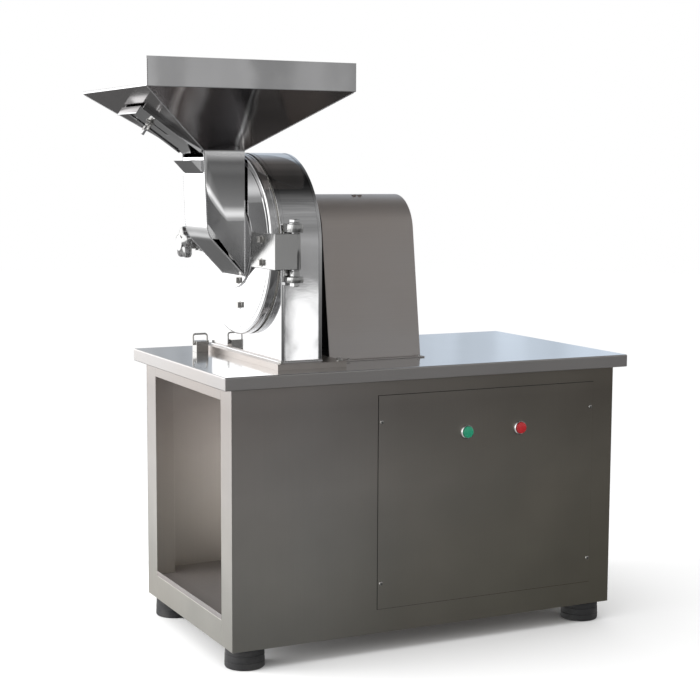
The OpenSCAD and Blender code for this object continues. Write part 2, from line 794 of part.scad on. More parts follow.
module wing_nut() color("lightgray") on_gate_slope() translate([stud_u, 0, 6.5 + gap]) difference() {
    union() {
        cylinder(h = 2, r = 11);
        translate([0, 0, 2]) cylinder(h = 10, r = 8);
        for (s = [-1, 1]) translate([0, 0, 12]) rotate([0, s * 25, 0])
            translate([-2, 4 * s - 4, -3]) cube([4, 8, 6]);
        for (s = [-1, 1]) translate([0, s * 15, 15]) rotate([0, 90, 0]) translate([0, 0, -2])
            cylinder(h = 4, r = 9);
    }
    translate([0, 0, -1]) cylinder(h = 40, r = 4 + run);
}

// ---------------------------------------------------------------- rotor

// Pin number k of four, at 45 degrees and every quarter turn
function pin_yz(k) = [pin_circle_r * cos(45 + 90 * k), axis_z + pin_circle_r * sin(45 + 90 * k)];

module spindle() color("lightgray") {
    rod_x(disc_x0 - 4, pulley_x0 + pulley_w + 6, shaft_r);
    rod_x(back_x + 28, face_x + 215, 26);
    rod_x(disc_x0 - 8, disc_x0, 24, $fn = 6);
}

module rotor_discs() color("gray") difference() {
    union() {
        for (i = [0:2]) rod_x(disc_x0 + i * disc_pitch, disc_x0 + i * disc_pitch + disc_t, disc_r);
        rod_x(disc_x0, disc_x0 + 2 * disc_pitch + disc_t, hub_r);
    }
    rod_x(disc_x0 - 1, disc_x0 + 3 * disc_pitch, shaft_r + 0.02);
    for (k = [0:3])
        rod_x(disc_x0 - 1, disc_x0 + 3 * disc_pitch, hammer_pin_r + 0.02, pin_yz(k)[0], pin_yz(k)[1]);
}

module hammer_pins() color("lightgray") {
    for (k = [0:3]) {
        y = pin_yz(k)[0];
        z = pin_yz(k)[1];
        rod_x(disc_x0 - 2, disc_x0 + 2 * disc_pitch + disc_t + 1, hammer_pin_r, y, z);
        rod_x(disc_x0 - 3, disc_x0, hammer_pin_r + 3, y, z);
    }
}

// One hammer, hanging straight down from pin k
module hammer(k, x) difference() {
    y = pin_yz(k)[0];
    z = pin_yz(k)[1];
    union() {
        rod_x(x, x + hammer_t, hammer_w / 2, y, z);
        block([x, y - hammer_w / 2, z - hammer_reach], [x + hammer_t, y + hammer_w / 2, z]);
    }
    rod_x(x - 1, x + hammer_t + 1, hammer_pin_r + run, y, z);
}

// Even pins carry two hammers in each bay between discs, odd pins one in the middle
module hammer_set(k) color("dimgray") {
    bay = disc_pitch - disc_t;
    for (i = [0:1]) {
        x = disc_x0 + disc_t + i * disc_pitch;
        if (k % 2 == 0) {
            hammer(k, x + 3);
            hammer(k, x + bay - 3 - hammer_t);
        } else {
            hammer(k, x + (bay - hammer_t) / 2);
        }
    }
}

module hammers_a() hammer_set(0);

module hammers_b() hammer_set(1);

module hammers_c() hammer_set(2);

module hammers_d() hammer_set(3);

// ---------------------------------------------------------------- bail catch on the table

catch_x = table_x0 + 116;
catch_y = 164;
catch_l = 32;
catch_lean = 6;
module catch_block() color("lightgray") difference() {
    block([catch_x, catch_y, table_h], [catch_x + catch_l, catch_y + 30, table_h + 28]);
    rod_x(catch_x - 1, catch_x + catch_l + 1, 2.6, catch_y + 15, table_h + 20);
}

module catch_bail() color("gray") {
    leg_x = catch_l / 2 + eps;
    translate([catch_x + catch_l / 2, catch_y + 15, table_h + 20]) rotate([-catch_lean, 0, 0]) {
        rod_x(-leg_x - 4, leg_x + 4, 2.5, 0, 0);
        for (x = [-leg_x - 5, leg_x]) block([x, -2.5, -2.5], [x + 5, 2.5, 28]);
        block([-leg_x - 5, -2.5, 23], [leg_x + 5, 2.5, 28]);
    }
}

posts();
rails();
front_skin();
back_skin();
right_skin();
partition();
floor_shelf();
table_top();
feet();
access_cover();
panel_screws();
button_bezels();
contact_blocks();
cable_gland();
motor_rails();
motor_body();
belts();
base_plate();
base_bolts();
housing();
screen_ring();
discharge_spout();
bearing_pedestal();
bearings();
bearing_covers();
guard();
pivot_bracket();
hinge_pin();
clamp_boss();
catch_block();
door_disc();
door_gasket();
door_liner();
door_bolts();
feed_boss();
feed_chute();
chute_scoop();
hinge_arm();
clamp_lug();
hopper_funnel();
hopper_rim();
gate_guides();
gate_plate();
wing_nut();
clamp_washer();
clamp_stem();
star_knob();
spindle();
rotor_discs();
hammer_pins();
mill_pulley();
hammers_a();
hammers_b();
hammers_c();
hammers_d();
motor_shaft();
motor_pulley();
start_button();
stop_button();
catch_bail();
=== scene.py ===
"""Looks for the hammer mill: materials, detail pieces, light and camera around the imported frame."""

import json
import math

import bmesh
import bpy
from mathutils import Matrix, Vector


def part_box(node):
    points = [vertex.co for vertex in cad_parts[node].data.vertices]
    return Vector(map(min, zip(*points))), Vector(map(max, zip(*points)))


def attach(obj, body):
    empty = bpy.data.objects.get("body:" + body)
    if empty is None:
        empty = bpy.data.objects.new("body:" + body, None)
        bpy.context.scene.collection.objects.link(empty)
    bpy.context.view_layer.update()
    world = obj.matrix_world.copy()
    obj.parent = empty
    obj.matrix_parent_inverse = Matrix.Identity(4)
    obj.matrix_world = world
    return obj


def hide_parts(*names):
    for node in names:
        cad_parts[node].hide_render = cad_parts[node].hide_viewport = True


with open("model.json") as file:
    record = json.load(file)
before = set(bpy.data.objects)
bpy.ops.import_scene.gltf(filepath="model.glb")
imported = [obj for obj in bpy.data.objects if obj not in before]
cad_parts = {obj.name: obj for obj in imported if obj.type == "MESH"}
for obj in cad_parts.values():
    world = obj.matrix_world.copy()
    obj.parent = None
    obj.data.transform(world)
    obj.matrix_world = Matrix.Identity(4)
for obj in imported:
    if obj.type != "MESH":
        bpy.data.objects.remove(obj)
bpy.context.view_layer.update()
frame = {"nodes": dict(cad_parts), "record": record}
NODES = frame["nodes"]
BODY_OF = {n: b for b, ns in frame["record"]["behaviour"]["bodies"].items() for n in ns}
SLOT_OF = {s["node"]: s["material_slot"] for s in frame["record"]["subparts"]}
MM = 0.001


# ---------------------------------------------------------------- camera

CAMERA_AT = (-1.775, -3.566, 1.165)
CAMERA_YAW, CAMERA_PITCH, CAMERA_ROLL = 26.385, 6.631, 0.289
CAMERA_LENS = 81.02
cam = bpy.data.objects.new("Camera", bpy.data.cameras.new("Camera"))
bpy.context.scene.collection.objects.link(cam)
cam.location = CAMERA_AT
cam.rotation_mode = "XYZ"
cam.matrix_world = (
    Matrix.Translation(CAMERA_AT)
    @ Matrix.Rotation(math.radians(-CAMERA_YAW), 4, "Z")
    @ Matrix.Rotation(math.radians(90 - CAMERA_PITCH), 4, "X")
    @ Matrix.Rotation(math.radians(CAMERA_ROLL), 4, "Z")
)
cam.data.sensor_width = 36
cam.data.lens = CAMERA_LENS
cam.data.clip_start = 0.05
cam.data.clip_end = 60
bpy.context.scene.camera = cam


# ---------------------------------------------------------------- shader helpers


class Shader:
    """Adds and links nodes in one tree."""

    def __init__(self, tree):
        self.tree = tree

    def add(self, kind, props=None, **inputs):
        node = self.tree.nodes.new("ShaderNode" + kind)
        for key, value in (props or {}).items():
            setattr(node, key, value)
        for key, value in inputs.items():
            numbered = key[0] == "i" and key[1:].isdigit()
            slot = node.inputs[int(key[1:]) if numbered else key.replace("_", " ")]
            if isinstance(value, bpy.types.NodeSocket):
                self.tree.links.new(value, slot)
            else:
                slot.default_value = value
        return node

    def math(self, op, a, b=0.0):
        return self.add("Math", {"operation": op}, i0=a, i1=b).outputs[0]

    def scaled(self, value, by, plus):
        """value * by + plus"""
        out = self.math("MULTIPLY_ADD", value, by)
        out.node.inputs[2].default_value = plus
        return out

    def ramp(self, factor, stops, ease="LINEAR"):
        node = self.add("ValToRGB", Fac=factor)
        node.color_ramp.interpolation = ease
        items = node.color_ramp.elements
        while len(items) < len(stops):
            items.new(0.5)
        for item, (at, colour) in zip(items, stops):
            item.position = at
            item.color = (*([colour] * 3 if isinstance(colour, (int, float)) else colour), 1)
        return node.outputs["Color"]

    def mix(self, factor, a, b, kind="MIX"):
        node = self.add("Mix", {"data_type": "RGBA", "blend_type": kind}, i0=factor)
        for slot, value in ((node.inputs[6], a), (node.inputs[7], b)):
            if isinstance(value, bpy.types.NodeSocket):
                self.tree.links.new(value, slot)
            else:
                slot.default_value = (*value, 1) if len(value) == 3 else value
        return node.outputs[2]

    def noise(self, vector, scale, detail=3.0, rough=0.5):
        return self.add("TexNoise", Vector=vector, Scale=scale, Detail=detail, Roughness=rough).outputs["Fac"]

    def stretched(self, vector, scale):
        return self.add("Mapping", Vector=vector, Scale=scale).outputs[0]

    def bump(self, height, distance, normal=None, strength=1.0):
        node = self.add("Bump", Height=height, Distance=distance, Strength=strength)
        if normal is not None:
            self.tree.links.new(normal, node.inputs["Normal"])
        return node.outputs[0]


def new_material(name):
    mat = bpy.data.materials.new(name)
    mat.use_nodes = True
    sh = Shader(mat.node_tree)
    bsdf = mat.node_tree.nodes["Principled BSDF"]
    place = sh.add("TexCoord").outputs["Object"]
    return mat, sh, bsdf, place


def tint(colour, k):
    return tuple(min(1.0, c * k) for c in colour)


GRAIN = {"x": (3, 420, 420), "y": (420, 3, 420), "z": (420, 420, 3)}


def steel(name, colour, rough, grain=None, grain_depth=0.00004, wave=0.0, wave_scale=7.0, smudge=0.1, warm=0.0,
          metallic=1.0,
          along_x=None, along_z=None):
    """Stainless or plain steel: a metal with cloudy colour, uneven roughness, grain or ripples in its sheet.

    along_x and along_z are (start, end, stops) tone curves in metres. They colour the sheet by its place on the
    object, partly in place of what it would mirror, so they don't move with the view or the light."""
    mat, sh, bsdf, place = new_material(name)
    cloud = sh.noise(place, 4.5, 4, 0.55)
    fine = sh.noise(place, 60, 3, 0.6)
    base = sh.mix(cloud, tint(colour, 1 - smudge), tint(colour, 1 + smudge * 0.6))
    if warm:
        patch = sh.ramp(sh.noise(place, 2.2, 2), [(0.42, 0.0), (0.62, 1.0)])
        base = sh.mix(sh.math("MULTIPLY", patch, warm), base, (colour[0] * 0.96, colour[1] * 0.86, colour[2] * 0.78))
    r = sh.scaled(cloud, rough * 0.5, rough * 0.68)
    r = sh.math("ADD", r, sh.math("MULTIPLY", fine, rough * 0.15))
    normal = None
    if wave:
        normal = sh.bump(sh.noise(place, wave_scale, 1.5, 0.4), wave)
    if grain:
        lines = sh.noise(sh.stretched(place, GRAIN[grain]), 1.0, 4, 0.7)
        r = sh.math("ADD", r, sh.math("MULTIPLY", lines, rough * 0.22))
        base = sh.mix(sh.math("MULTIPLY", lines, 0.35), base, tint(colour, 0.8))
        normal = sh.bump(lines, grain_depth, normal)
    else:
        scratch = sh.noise(sh.stretched(place, (30, 260, 90)), 1.0, 2, 0.8)
        normal = sh.bump(scratch, 0.000012, normal)
    for axis, curve in ((0, along_x), (2, along_z)):
        if curve:
            at = sh.add("SeparateXYZ", Vector=place).outputs[axis]
            share = sh.add("MapRange", Value=at, i1=curve[0], i2=curve[1], i3=0.0, i4=1.0).outputs[0]
            base = sh.mix(1.0, base, sh.ramp(share, curve[2]), "MULTIPLY")
    bsdf.inputs["Metallic"].default_value = metallic
    sh.tree.links.new(base, bsdf.inputs["Base Color"])
    sh.tree.links.new(r, bsdf.inputs["Roughness"])
    sh.tree.links.new(normal, bsdf.inputs["Normal"])
    return mat


def coated(name, colour, rough, bump=0.0001, scale=180, metallic=0.0, coat=0.0, vary=0.2, dust=0.0):
    """Paint, rubber, plastic or cast iron: a grained surface with a little wear and dust in its colour."""
    mat, sh, bsdf, place = new_material(name)
    cloud = sh.noise(place, 14, 4, 0.6)
    grain = sh.noise(place, scale, 3, 0.6)
    base = sh.mix(cloud, tint(colour, 1 - vary), tint(colour, 1 + vary))
    if dust:
        base = sh.mix(sh.math("MULTIPLY", sh.ramp(cloud, [(0.45, 0.0), (0.8, 1.0)]), dust), base, (0.30, 0.28, 0.25))
    r = sh.scaled(grain, rough * 0.4, rough * 0.8)
    bsdf.inputs["Metallic"].default_value = metallic
    bsdf.inputs["Coat Weight"].default_value = coat
    sh.tree.links.new(base, bsdf.inputs["Base Color"])
    sh.tree.links.new(r, bsdf.inputs["Roughness"])
    sh.tree.links.new(sh.bump(grain, bump), bsdf.inputs["Normal"])
    return mat


MATERIALS = {
    # brushed_stainless: its along_x and along_z tone curves are painted light. The sheet is lighter toward its -X end
    # and at mid height, and darker toward +X and near the top.
    "brushed_stainless": steel(
        "brushed_stainless", (0.66, 0.645, 0.62), 0.33, grain="z", warm=0.22, smudge=0.16,
        along_x=(-0.45, 0.60, [(0.0, 1.0), (0.2, 0.95), (0.42, (0.76, 0.75, 0.72)), (0.7, (0.66, 0.65, 0.60)),
                               (1.0, (0.58, 0.56, 0.50))]),
        along_z=(0.05, 0.70, [(0.0, (0.88, 0.88, 0.84)), (0.25, (1.0, 1.0, 0.97)), (0.55, (1.0, 0.98, 0.97)),
                              (0.85, (0.74, 0.71, 0.71)), (1.0, (0.84, 0.80, 0.79))])),
    "polished_table": steel("polished_table", (0.66, 0.665, 0.67), 0.11, wave=0.0006, wave_scale=5, smudge=0.08),
    # polished_housing: its along_z tone curve is a painted reflection, a dark band across the top of the drum under a
    # bright crest.
    "polished_housing": steel(
        "polished_housing", (0.68, 0.68, 0.685), 0.05, wave=0.0003, wave_scale=11, smudge=0.06,
        along_z=(1.08, 1.20, [(0.0, 1.0), (0.12, 0.62), (0.2, 0.32), (0.45, 0.24), (0.75, 0.36), (0.86, 0.9),
                              (1.0, 1.0)])),
    "bay_steel": steel("bay_steel", (0.50, 0.475, 0.46), 0.42, grain="y", warm=0.3, smudge=0.15, metallic=0.4),
    "polished_sheet": steel("polished_sheet", (0.64, 0.64, 0.645), 0.07, wave=0.0005, wave_scale=9, smudge=0.08),
    "door_steel": steel("door_steel", (0.72, 0.72, 0.725), 0.07, wave=0.0003, wave_scale=9, smudge=0.05),
    "black_rubber": coated("black_rubber", (0.022, 0.022, 0.023), 0.62, 0.0002, 220, dust=0.15),
    "zinc_steel": steel("zinc_steel", (0.56, 0.55, 0.53), 0.26, smudge=0.2),
    "chrome_trim": steel("chrome_trim", (0.82, 0.82, 0.83), 0.06, smudge=0.04),
    "black_plastic": coated("black_plastic", (0.03, 0.03, 0.032), 0.42, 0.00008, 400),
    "painted_rail": coated("painted_rail", (0.10, 0.10, 0.105), 0.45, 0.0001, 200, dust=0.2),
    "motor_paint": coated("motor_paint", (0.07, 0.14, 0.22), 0.42, 0.00012, 160, coat=0.2, dust=0.25),
    "belt_rubber": coated("belt_rubber", (0.025, 0.025, 0.025), 0.75, 0.0002, 500, dust=0.2),
    # black_iron is near-black paint. On the bearing pedestal, in the gap between housing and guard, that black is
    # partly painted shade of the gap.
    "black_iron": coated("black_iron", (0.018, 0.018, 0.02), 0.5, 0.0004, 90, dust=0.1),
    "bearing_steel": steel("bearing_steel", (0.60, 0.60, 0.60), 0.16, smudge=0.1),
    "cast_iron": coated("cast_iron", (0.16, 0.155, 0.15), 0.5, 0.0003, 120, metallic=0.7, dust=0.2),
    "screen_steel": steel("screen_steel", (0.58, 0.58, 0.57), 0.25, smudge=0.15),
    "guard_satin": steel("guard_satin", (0.60, 0.57, 0.555), 0.40, grain="x", wave=0.0006, wave_scale=4, smudge=0.08,
                         warm=0.5),
    "forged_steel": steel("forged_steel", (0.50, 0.50, 0.495), 0.16, wave=0.0002, wave_scale=25, smudge=0.12),
    "gasket_rubber": coated("gasket_rubber", (0.62, 0.60, 0.55), 0.6, 0.0001, 300, vary=0.06),
    "liner_iron": coated("liner_iron", (0.24, 0.235, 0.23), 0.42, 0.0003, 150, metallic=0.85),
    "hammer_steel": steel("hammer_steel", (0.36, 0.35, 0.34), 0.3, smudge=0.25),
    "green_plastic": coated("green_plastic", (0.012, 0.24, 0.13), 0.22, 0.00002, 500, coat=0.5, vary=0.08),
    "red_plastic": coated("red_plastic", (0.36, 0.010, 0.014), 0.22, 0.00002, 500, coat=0.5, vary=0.08),
}


# ---------------------------------------------------------------- CAD nodes: finish and soft edges

SOFT_EDGE = {
    "base_plate": 1.2, "access_cover": 0.8, "posts": 1.2, "rails": 1.0, "hinge_arm": 1.8, "clamp_lug": 1.5,
    "clamp_boss": 1.5, "bearing_pedestal": 2.5, "pivot_bracket": 1.5, "catch_block": 1.2, "floor_shelf": 0.8,
    "chute_scoop": 0.5, "gate_plate": 0.5, "gate_guides": 0.5, "motor_rails": 1.0, "hammers_a": 0.6,
    "hammers_b": 0.6, "hammers_c": 0.6, "hammers_d": 0.6,
}


def stained(name, colour, at_y, stain):
    """Bay sheet with a brown run of dried product down the seam at one side."""
    mat, sh, bsdf, place = new_material(name)
    cloud = sh.noise(place, 5, 4, 0.6)
    base = sh.mix(cloud, tint(colour, 0.88), tint(colour, 1.08))
    at = sh.add("SeparateXYZ", Vector=place).outputs
    edge = sh.math("ABSOLUTE", sh.math("SUBTRACT", at[1], at_y))
    ragged = sh.math("ADD", edge, sh.math("MULTIPLY", sh.noise(sh.stretched(place, (1, 1, 0.6)), 26, 4, 0.7), 0.03))
    run = sh.math("MULTIPLY", sh.ramp(sh.math("MULTIPLY", ragged, 20), [(0.62, 1.0), (0.74, 0.0)]),
                  sh.ramp(sh.noise(place, 12, 3), [(0.40, 0.15), (0.54, 1.0)]))
    base = sh.mix(sh.math("MULTIPLY", run, 0.9), base, stain)
    lines = sh.noise(sh.stretched(place, GRAIN["z"]), 1.0, 3, 0.7)
    bsdf.inputs["Metallic"].default_value = 0.25
    sh.tree.links.new(base, bsdf.inputs["Base Color"])
    sh.tree.links.new(sh.math("ADD", sh.math("MULTIPLY", lines, 0.15), 0.38), bsdf.inputs["Roughness"])
    sh.tree.links.new(sh.bump(lines, 0.00003), bsdf.inputs["Normal"])
    return mat


BAY_STAIN_AND_SHADE = {
    "partition": stained("partition_sheet", (0.60, 0.565, 0.545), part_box("partition")[1].y - 0.012,
                         (0.16, 0.085, 0.045)),
    # The shelf's dark base colour, well below the bay steel's, is painted shade on the bay's floor.
    "floor_shelf": steel("shelf_sheet", (0.24, 0.225, 0.22), 0.40, grain="y", warm=0.4, smudge=0.25, metallic=0.5),
}
for name, node in NODES.items():
    node.data.materials.clear()
    node.data.materials.append(BAY_STAIN_AND_SHADE.get(name) or MATERIALS[SLOT_OF[name]])
    if name in SOFT_EDGE:
        weld = node.modifiers.new("weld", "WELD")
        weld.merge_threshold = 2e-5
        flat = node.modifiers.new("flat", "DECIMATE")
        flat.decimate_type = "DISSOLVE"
        flat.angle_limit = math.radians(0.5)
        soft = node.modifiers.new("soft", "BEVEL")
        soft.width = SOFT_EDGE[name] * MM
        soft.segments = 2
        soft.limit_method = "ANGLE"
        soft.angle_limit = math.radians(35)
        soft.harden_normals = True


# ---------------------------------------------------------------- mesh helpers


def piece(name, node, verts, faces, material=None, sharp=30, bevel=0.0):
    """A new mesh piece with the body and material slot of the CAD node that it replaces or belongs with."""
    mesh = bpy.data.meshes.new(name)
    mesh.from_pydata([tuple(v) for v in verts], [], faces)
    bm = bmesh.new()
    bm.from_mesh(mesh)
    bmesh.ops.remove_doubles(bm, verts=bm.verts, dist=1e-6)
    bmesh.ops.recalc_face_normals(bm, faces=bm.faces)
    for face in bm.faces:
        face.smooth = True
    for edge in bm.edges:
        if len(edge.link_faces) == 2:
            edge.smooth = edge.calc_face_angle(0) < math.radians(sharp)
    bm.to_mesh(mesh)
    bm.free()
    obj = bpy.data.objects.new(name, mesh)
    bpy.context.scene.collection.objects.link(obj)
    mesh.materials.append(material or MATERIALS[SLOT_OF[node]])
    if bevel:
        soft = obj.modifiers.new("soft", "BEVEL")
        soft.width = bevel * MM
        soft.segments = 3
        soft.limit_method = "ANGLE"
        soft.angle_limit = math.radians(32)
        soft.harden_normals = True
    else:
        even = obj.modifiers.new("even", "WEIGHTED_NORMAL")
        even.keep_sharp = True
        even.weight = 100
    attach(obj, BODY_OF[node])
    return obj


def rings(loops, closed=True, cap0=False, cap1=False):
    """Faces that join equal loops of points, each loop closed on itself, with optional end caps."""
    n = len(loops[0])
    verts = [p for loop in loops for p in loop]
    faces = []
    for k in range(len(loops) - 1):
        for i in range(n if closed else n - 1):
            j = (i + 1) % n
            faces.append((k * n + i, k * n + j, (k + 1) * n + j, (k + 1) * n + i))
    if cap0:
        faces.append(tuple(range(n)))
    if cap1:
        faces.append(tuple(range((len(loops) - 1) * n, len(loops) * n)))
    return verts, faces


def merged(parts):
    verts, faces = [], []
    for v, f in parts:
        base = len(verts)
        verts += [Vector(p) for p in v]
        faces += [tuple(i + base for i in face) for face in f]
    return verts, faces


QUARTER = [math.radians(15 * i) for i in range(7)]


def placed(part, matrix):
    verts, faces = part
    return [matrix @ Vector(p) for p in verts], faces


def turned(profile, segments=48, phase=0.0, wobble=None):
    """A closed profile of (radius, height) in mm, turned round Z. wobble scales a point's radius by its angle."""
    loops = []
    for r, h in profile:
        loop = []
        for i in range(segments):
            a = math.tau * i / segments + phase
            k = wobble(a, r) if wobble else 1.0
            loop.append((r * k * MM * math.cos(a), r * k * MM * math.sin(a), h * MM))
        loops.append(loop)
    return rings(loops, cap0=True, cap1=True)


def solid_box(lo, hi):
    corners = [(x, y, z) for z in (lo[2], hi[2]) for x,
               y in ((lo[0], lo[1]), (hi[0], lo[1]), (hi[0], hi[1]), (lo[0], hi[1]))]
    return corners, [(0, 1, 2, 3), (4, 5, 6, 7), (0, 1, 5, 4), (1, 2, 6, 5), (2, 3, 7, 6), (3, 0, 4, 7)]


def aim(direction, at):
    """A matrix that stands local +Z along direction, at a point."""
    return Matrix.Translation(at) @ Vector(direction).to_track_quat("Z", "Y").to_matrix().to_4x4()


def swept(path, radius, sides=8, ripple=0.0, pitch=0.003):
    """A round bar along a path of points. With a ripple it is a weld bead of overlapping scales."""
    pts = [Vector(p) for p in path]
    if ripple:
        fine = []
        for a, b in zip(pts, pts[1:]):
            n = max(1, int((b - a).length / (pitch / 4)))
            fine += [a.lerp(b, i / n) for i in range(n)]
        pts = fine + [pts[-1]]
    loops, up, run = [], None, 0.0
    for i, p in enumerate(pts):
        before = pts[max(i - 1, 0)]
        after = pts[min(i + 1, len(pts) - 1)]
        t = (after - before).normalized()
        if up is None:
            up = t.orthogonal().normalized()
        up = (up - t * up.dot(t)).normalized()
        side = t.cross(up)
        run += (p - pts[i - 1]).length if i else 0.0
        r = radius * (1 + ripple * (abs(math.sin(math.pi * run / pitch)) - 0.5)) if ripple else radius
        loops.append([p + (up * math.cos(math.tau * k / sides) + side * math.sin(math.tau * k / sides)) * r
                      for k in range(sides)])
    return rings(loops, cap0=True, cap1=True)


def hex_prism(across, h0, h1, chamfer=0.8, sides=6):
    """A nut or bolt head: flats, with its corners chamfered at both ends."""
    r = across / 2 / math.cos(math.pi / sides)
    return turned([(r - chamfer, h0), (r, h0 + chamfer * 0.6), (r, h1 - chamfer * 0.6), (r - chamfer, h1)], sides)


# ---------------------------------------------------------------- housing and door

h_lo, h_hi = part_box("housing")
HOUSING_R = (h_hi.y - h_lo.y) / 2
AXIS_Z = h_hi.z - HOUSING_R
CHAMBER_R, CHAMBER_X1, HUB_R = 0.204, h_hi.x - 0.010, 0.030
ARC, LEG, SOLE = 96, 14, 28


def housing_loop(x, inset):
    """The housing's outline: a leg, the arch over, a leg, and back along the foot."""
    r = HOUSING_R - inset
    z0, z1 = h_lo.z, AXIS_Z
    pts = [(x, -r, z0 + (z1 - z0) * i / LEG) for i in range(LEG)]
    pts += [(x, -r * math.cos(math.pi * i / ARC), z1 + r * math.sin(math.pi * i / ARC)) for i in range(ARC)]
    pts += [(x, r, z1 + (z0 - z1) * i / LEG) for i in range(LEG)]
    pts += [(x, r - 2 * r * i / SOLE, z0) for i in range(SOLE)]
    return pts


def round_loop(x, r, like):
    """A circle round the spindle with one point for each point of another loop."""
    out = []
    for _, y, z in like:
        a = math.atan2(z - AXIS_Z, y)
        out.append((x, r * math.cos(a), AXIS_Z + r * math.sin(a)))
    return out


outline = housing_loop(h_lo.x, 0)
length = h_hi.x - h_lo.x
SEAM = [(0, 1.2), (0.4, 0.4), (1.2, 0), (9.2, 0), (9.6, 0.8), (10.6, 0.8), (11.0, 0.15), (length / MM - 10.0, 0.15),
        (length / MM - 9.6, 0.8), (length / MM - 8.8, 0.8), (length / MM - 8.4, 0), (length / MM - 1.2, 0),
        (length / MM, 1.0)]
loops = [round_loop(h_lo.x + 0.001, CHAMBER_R, outline), round_loop(h_lo.x, CHAMBER_R + 0.001, outline)]
loops += [housing_loop(h_lo.x + dx * MM, inset * MM) for dx, inset in SEAM]
loops += [round_loop(h_hi.x, HUB_R, outline), round_loop(CHAMBER_X1, HUB_R, outline),
          round_loop(CHAMBER_X1, CHAMBER_R, outline), round_loop(h_lo.x + 0.001, CHAMBER_R, outline)]
shell = piece("housing_shell", "housing", *rings(loops), sharp=40)
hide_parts("housing")

# Weld beads: across the shell where its sheets meet, and round its foot
SHELL_SEAM = math.radians(29.3)
beads = []
for side in (-1, 1):
    y = side * (HOUSING_R - 0.0002) * math.cos(SHELL_SEAM)
    z = AXIS_Z + (HOUSING_R - 0.0002) * math.sin(SHELL_SEAM)
    beads.append(swept([(h_lo.x + 0.011, y, z), (h_hi.x - 0.009, y, z)], 0.0011, 6, 0.5))
foot = [(h_lo.x, -HOUSING_R, h_lo.z), (h_hi.x, -HOUSING_R, h_lo.z), (h_hi.x, HOUSING_R, h_lo.z),
        (h_lo.x, HOUSING_R, h_lo.z)]
for a, b in zip(foot, foot[1:] + foot[:1]):
    beads.append(swept([a, b], 0.0026, 8, 0.35, 0.004))
piece("housing_welds", "housing", *merged(beads), sharp=60)

d_lo, d_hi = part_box("door_disc")
DOOR_R = (d_hi.y - d_lo.y) / 2
f_lo, f_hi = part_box("feed_boss")
PORT_HY = 0.066
PORT_Z0, PORT_Z1 = AXIS_Z - 0.062, AXIS_Z + 0.058


def port_loop(x, like, grow=0.0):
    """The feed port's rectangle with one point for each point of a round loop."""
    y1, z0, z1 = PORT_HY + grow, PORT_Z0 - grow, PORT_Z1 + grow
    cz = (z0 + z1) / 2
    out = []
    for _, y, z in like:
        a = math.atan2(z - AXIS_Z, y)
        c, s = math.cos(a), math.sin(a)
        k = min(y1 / abs(c) if abs(c) > 1e-9 else 9, (z1 - cz) / abs(s) if abs(s) > 1e-9 else 9)
        out.append((x, c * k, cz + s * k))
    return out


def disc_loop(x, r, n=128):
    return [(x, r * math.cos(math.tau * (i + 0.5) / n),
             AXIS_Z + r * math.sin(math.tau * (i + 0.5) / n)) for i in range(n)]


def disc_with_port(x0, x1, profile):
    """A turned disc between x0 and x1 with the feed port through it. profile is (x, radius) round its rim."""
    like = disc_loop(x0, 1)
    loops = [port_loop(x1, like), port_loop(x0 + 0.0008, like), port_loop(x0, like, 0.0008)]
    loops += [disc_loop(x, r) for x, r in profile]
    return rings(loops + [port_loop(x1, like)])


RIM_ROUND = 0.006
rim = [(d_lo.x, DOOR_R - 0.019), (d_lo.x + 0.0012, DOOR_R - 0.0178), (d_lo.x + 0.0012, DOOR_R - 0.0165),
       (d_lo.x, DOOR_R - 0.0153)]
rim += [(d_lo.x + RIM_ROUND * (1 - math.cos(a)), DOOR_R - RIM_ROUND * (1 - math.sin(a)))
        for a in [math.radians(9 * i) for i in range(11)]]
rim += [(d_lo.x + 0.0135, DOOR_R), (d_lo.x + 0.0141, DOOR_R - 0.0009), (d_lo.x + 0.0151, DOOR_R - 0.0009),
        (d_lo.x + 0.0157, DOOR_R), (d_hi.x - 0.001, DOOR_R), (d_hi.x, DOOR_R - 0.001)]
door = piece("door_plate", "door_disc", *disc_with_port(d_lo.x, d_hi.x, rim), sharp=24)
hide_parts("door_disc")
BOSS_R = (f_hi.y - f_lo.y) / 2
boss_rim = [(f_lo.x, BOSS_R - 0.0018), (f_lo.x + 0.0005, BOSS_R - 0.0005), (f_lo.x + 0.0018, BOSS_R), (f_hi.x, BOSS_R)]
boss = piece("feed_boss_ring", "feed_boss", *disc_with_port(f_lo.x, f_hi.x, boss_rim), sharp=35)
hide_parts("feed_boss")


# ---------------------------------------------------------------- belt guard

g_lo, g_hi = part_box("guard")
GUARD_R, GUARD_FOOT, GUARD_WALL = 0.095, 0.139, 0.0025
TABLE_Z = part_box("table_top")[1].z
GUARD_CZ = g_hi.z - GUARD_R


def guard_loop(x, inset):
    """The guard's arch: from the near foot up its leaning side, over, and down to the far foot."""
    r, foot = GUARD_R - inset, GUARD_FOOT - inset
    rise = GUARD_CZ - TABLE_Z
    d = math.hypot(foot, rise)
    a = math.acos(r / d) - math.atan2(rise, foot)
    pts = [(x, -foot + (foot - r * math.cos(a)) * i / 10,
            TABLE_Z + (rise + r * math.sin(a)) * i / 10) for i in range(10)]
    steps = 40
    for i in range(steps + 1):
        t = a + (math.pi - 2 * a) * i / steps
        pts.append((x, -r * math.cos(t), GUARD_CZ + r * math.sin(t)))
    pts += [(x, -y, z) for _, y, z in reversed(pts[:10])]
    return pts


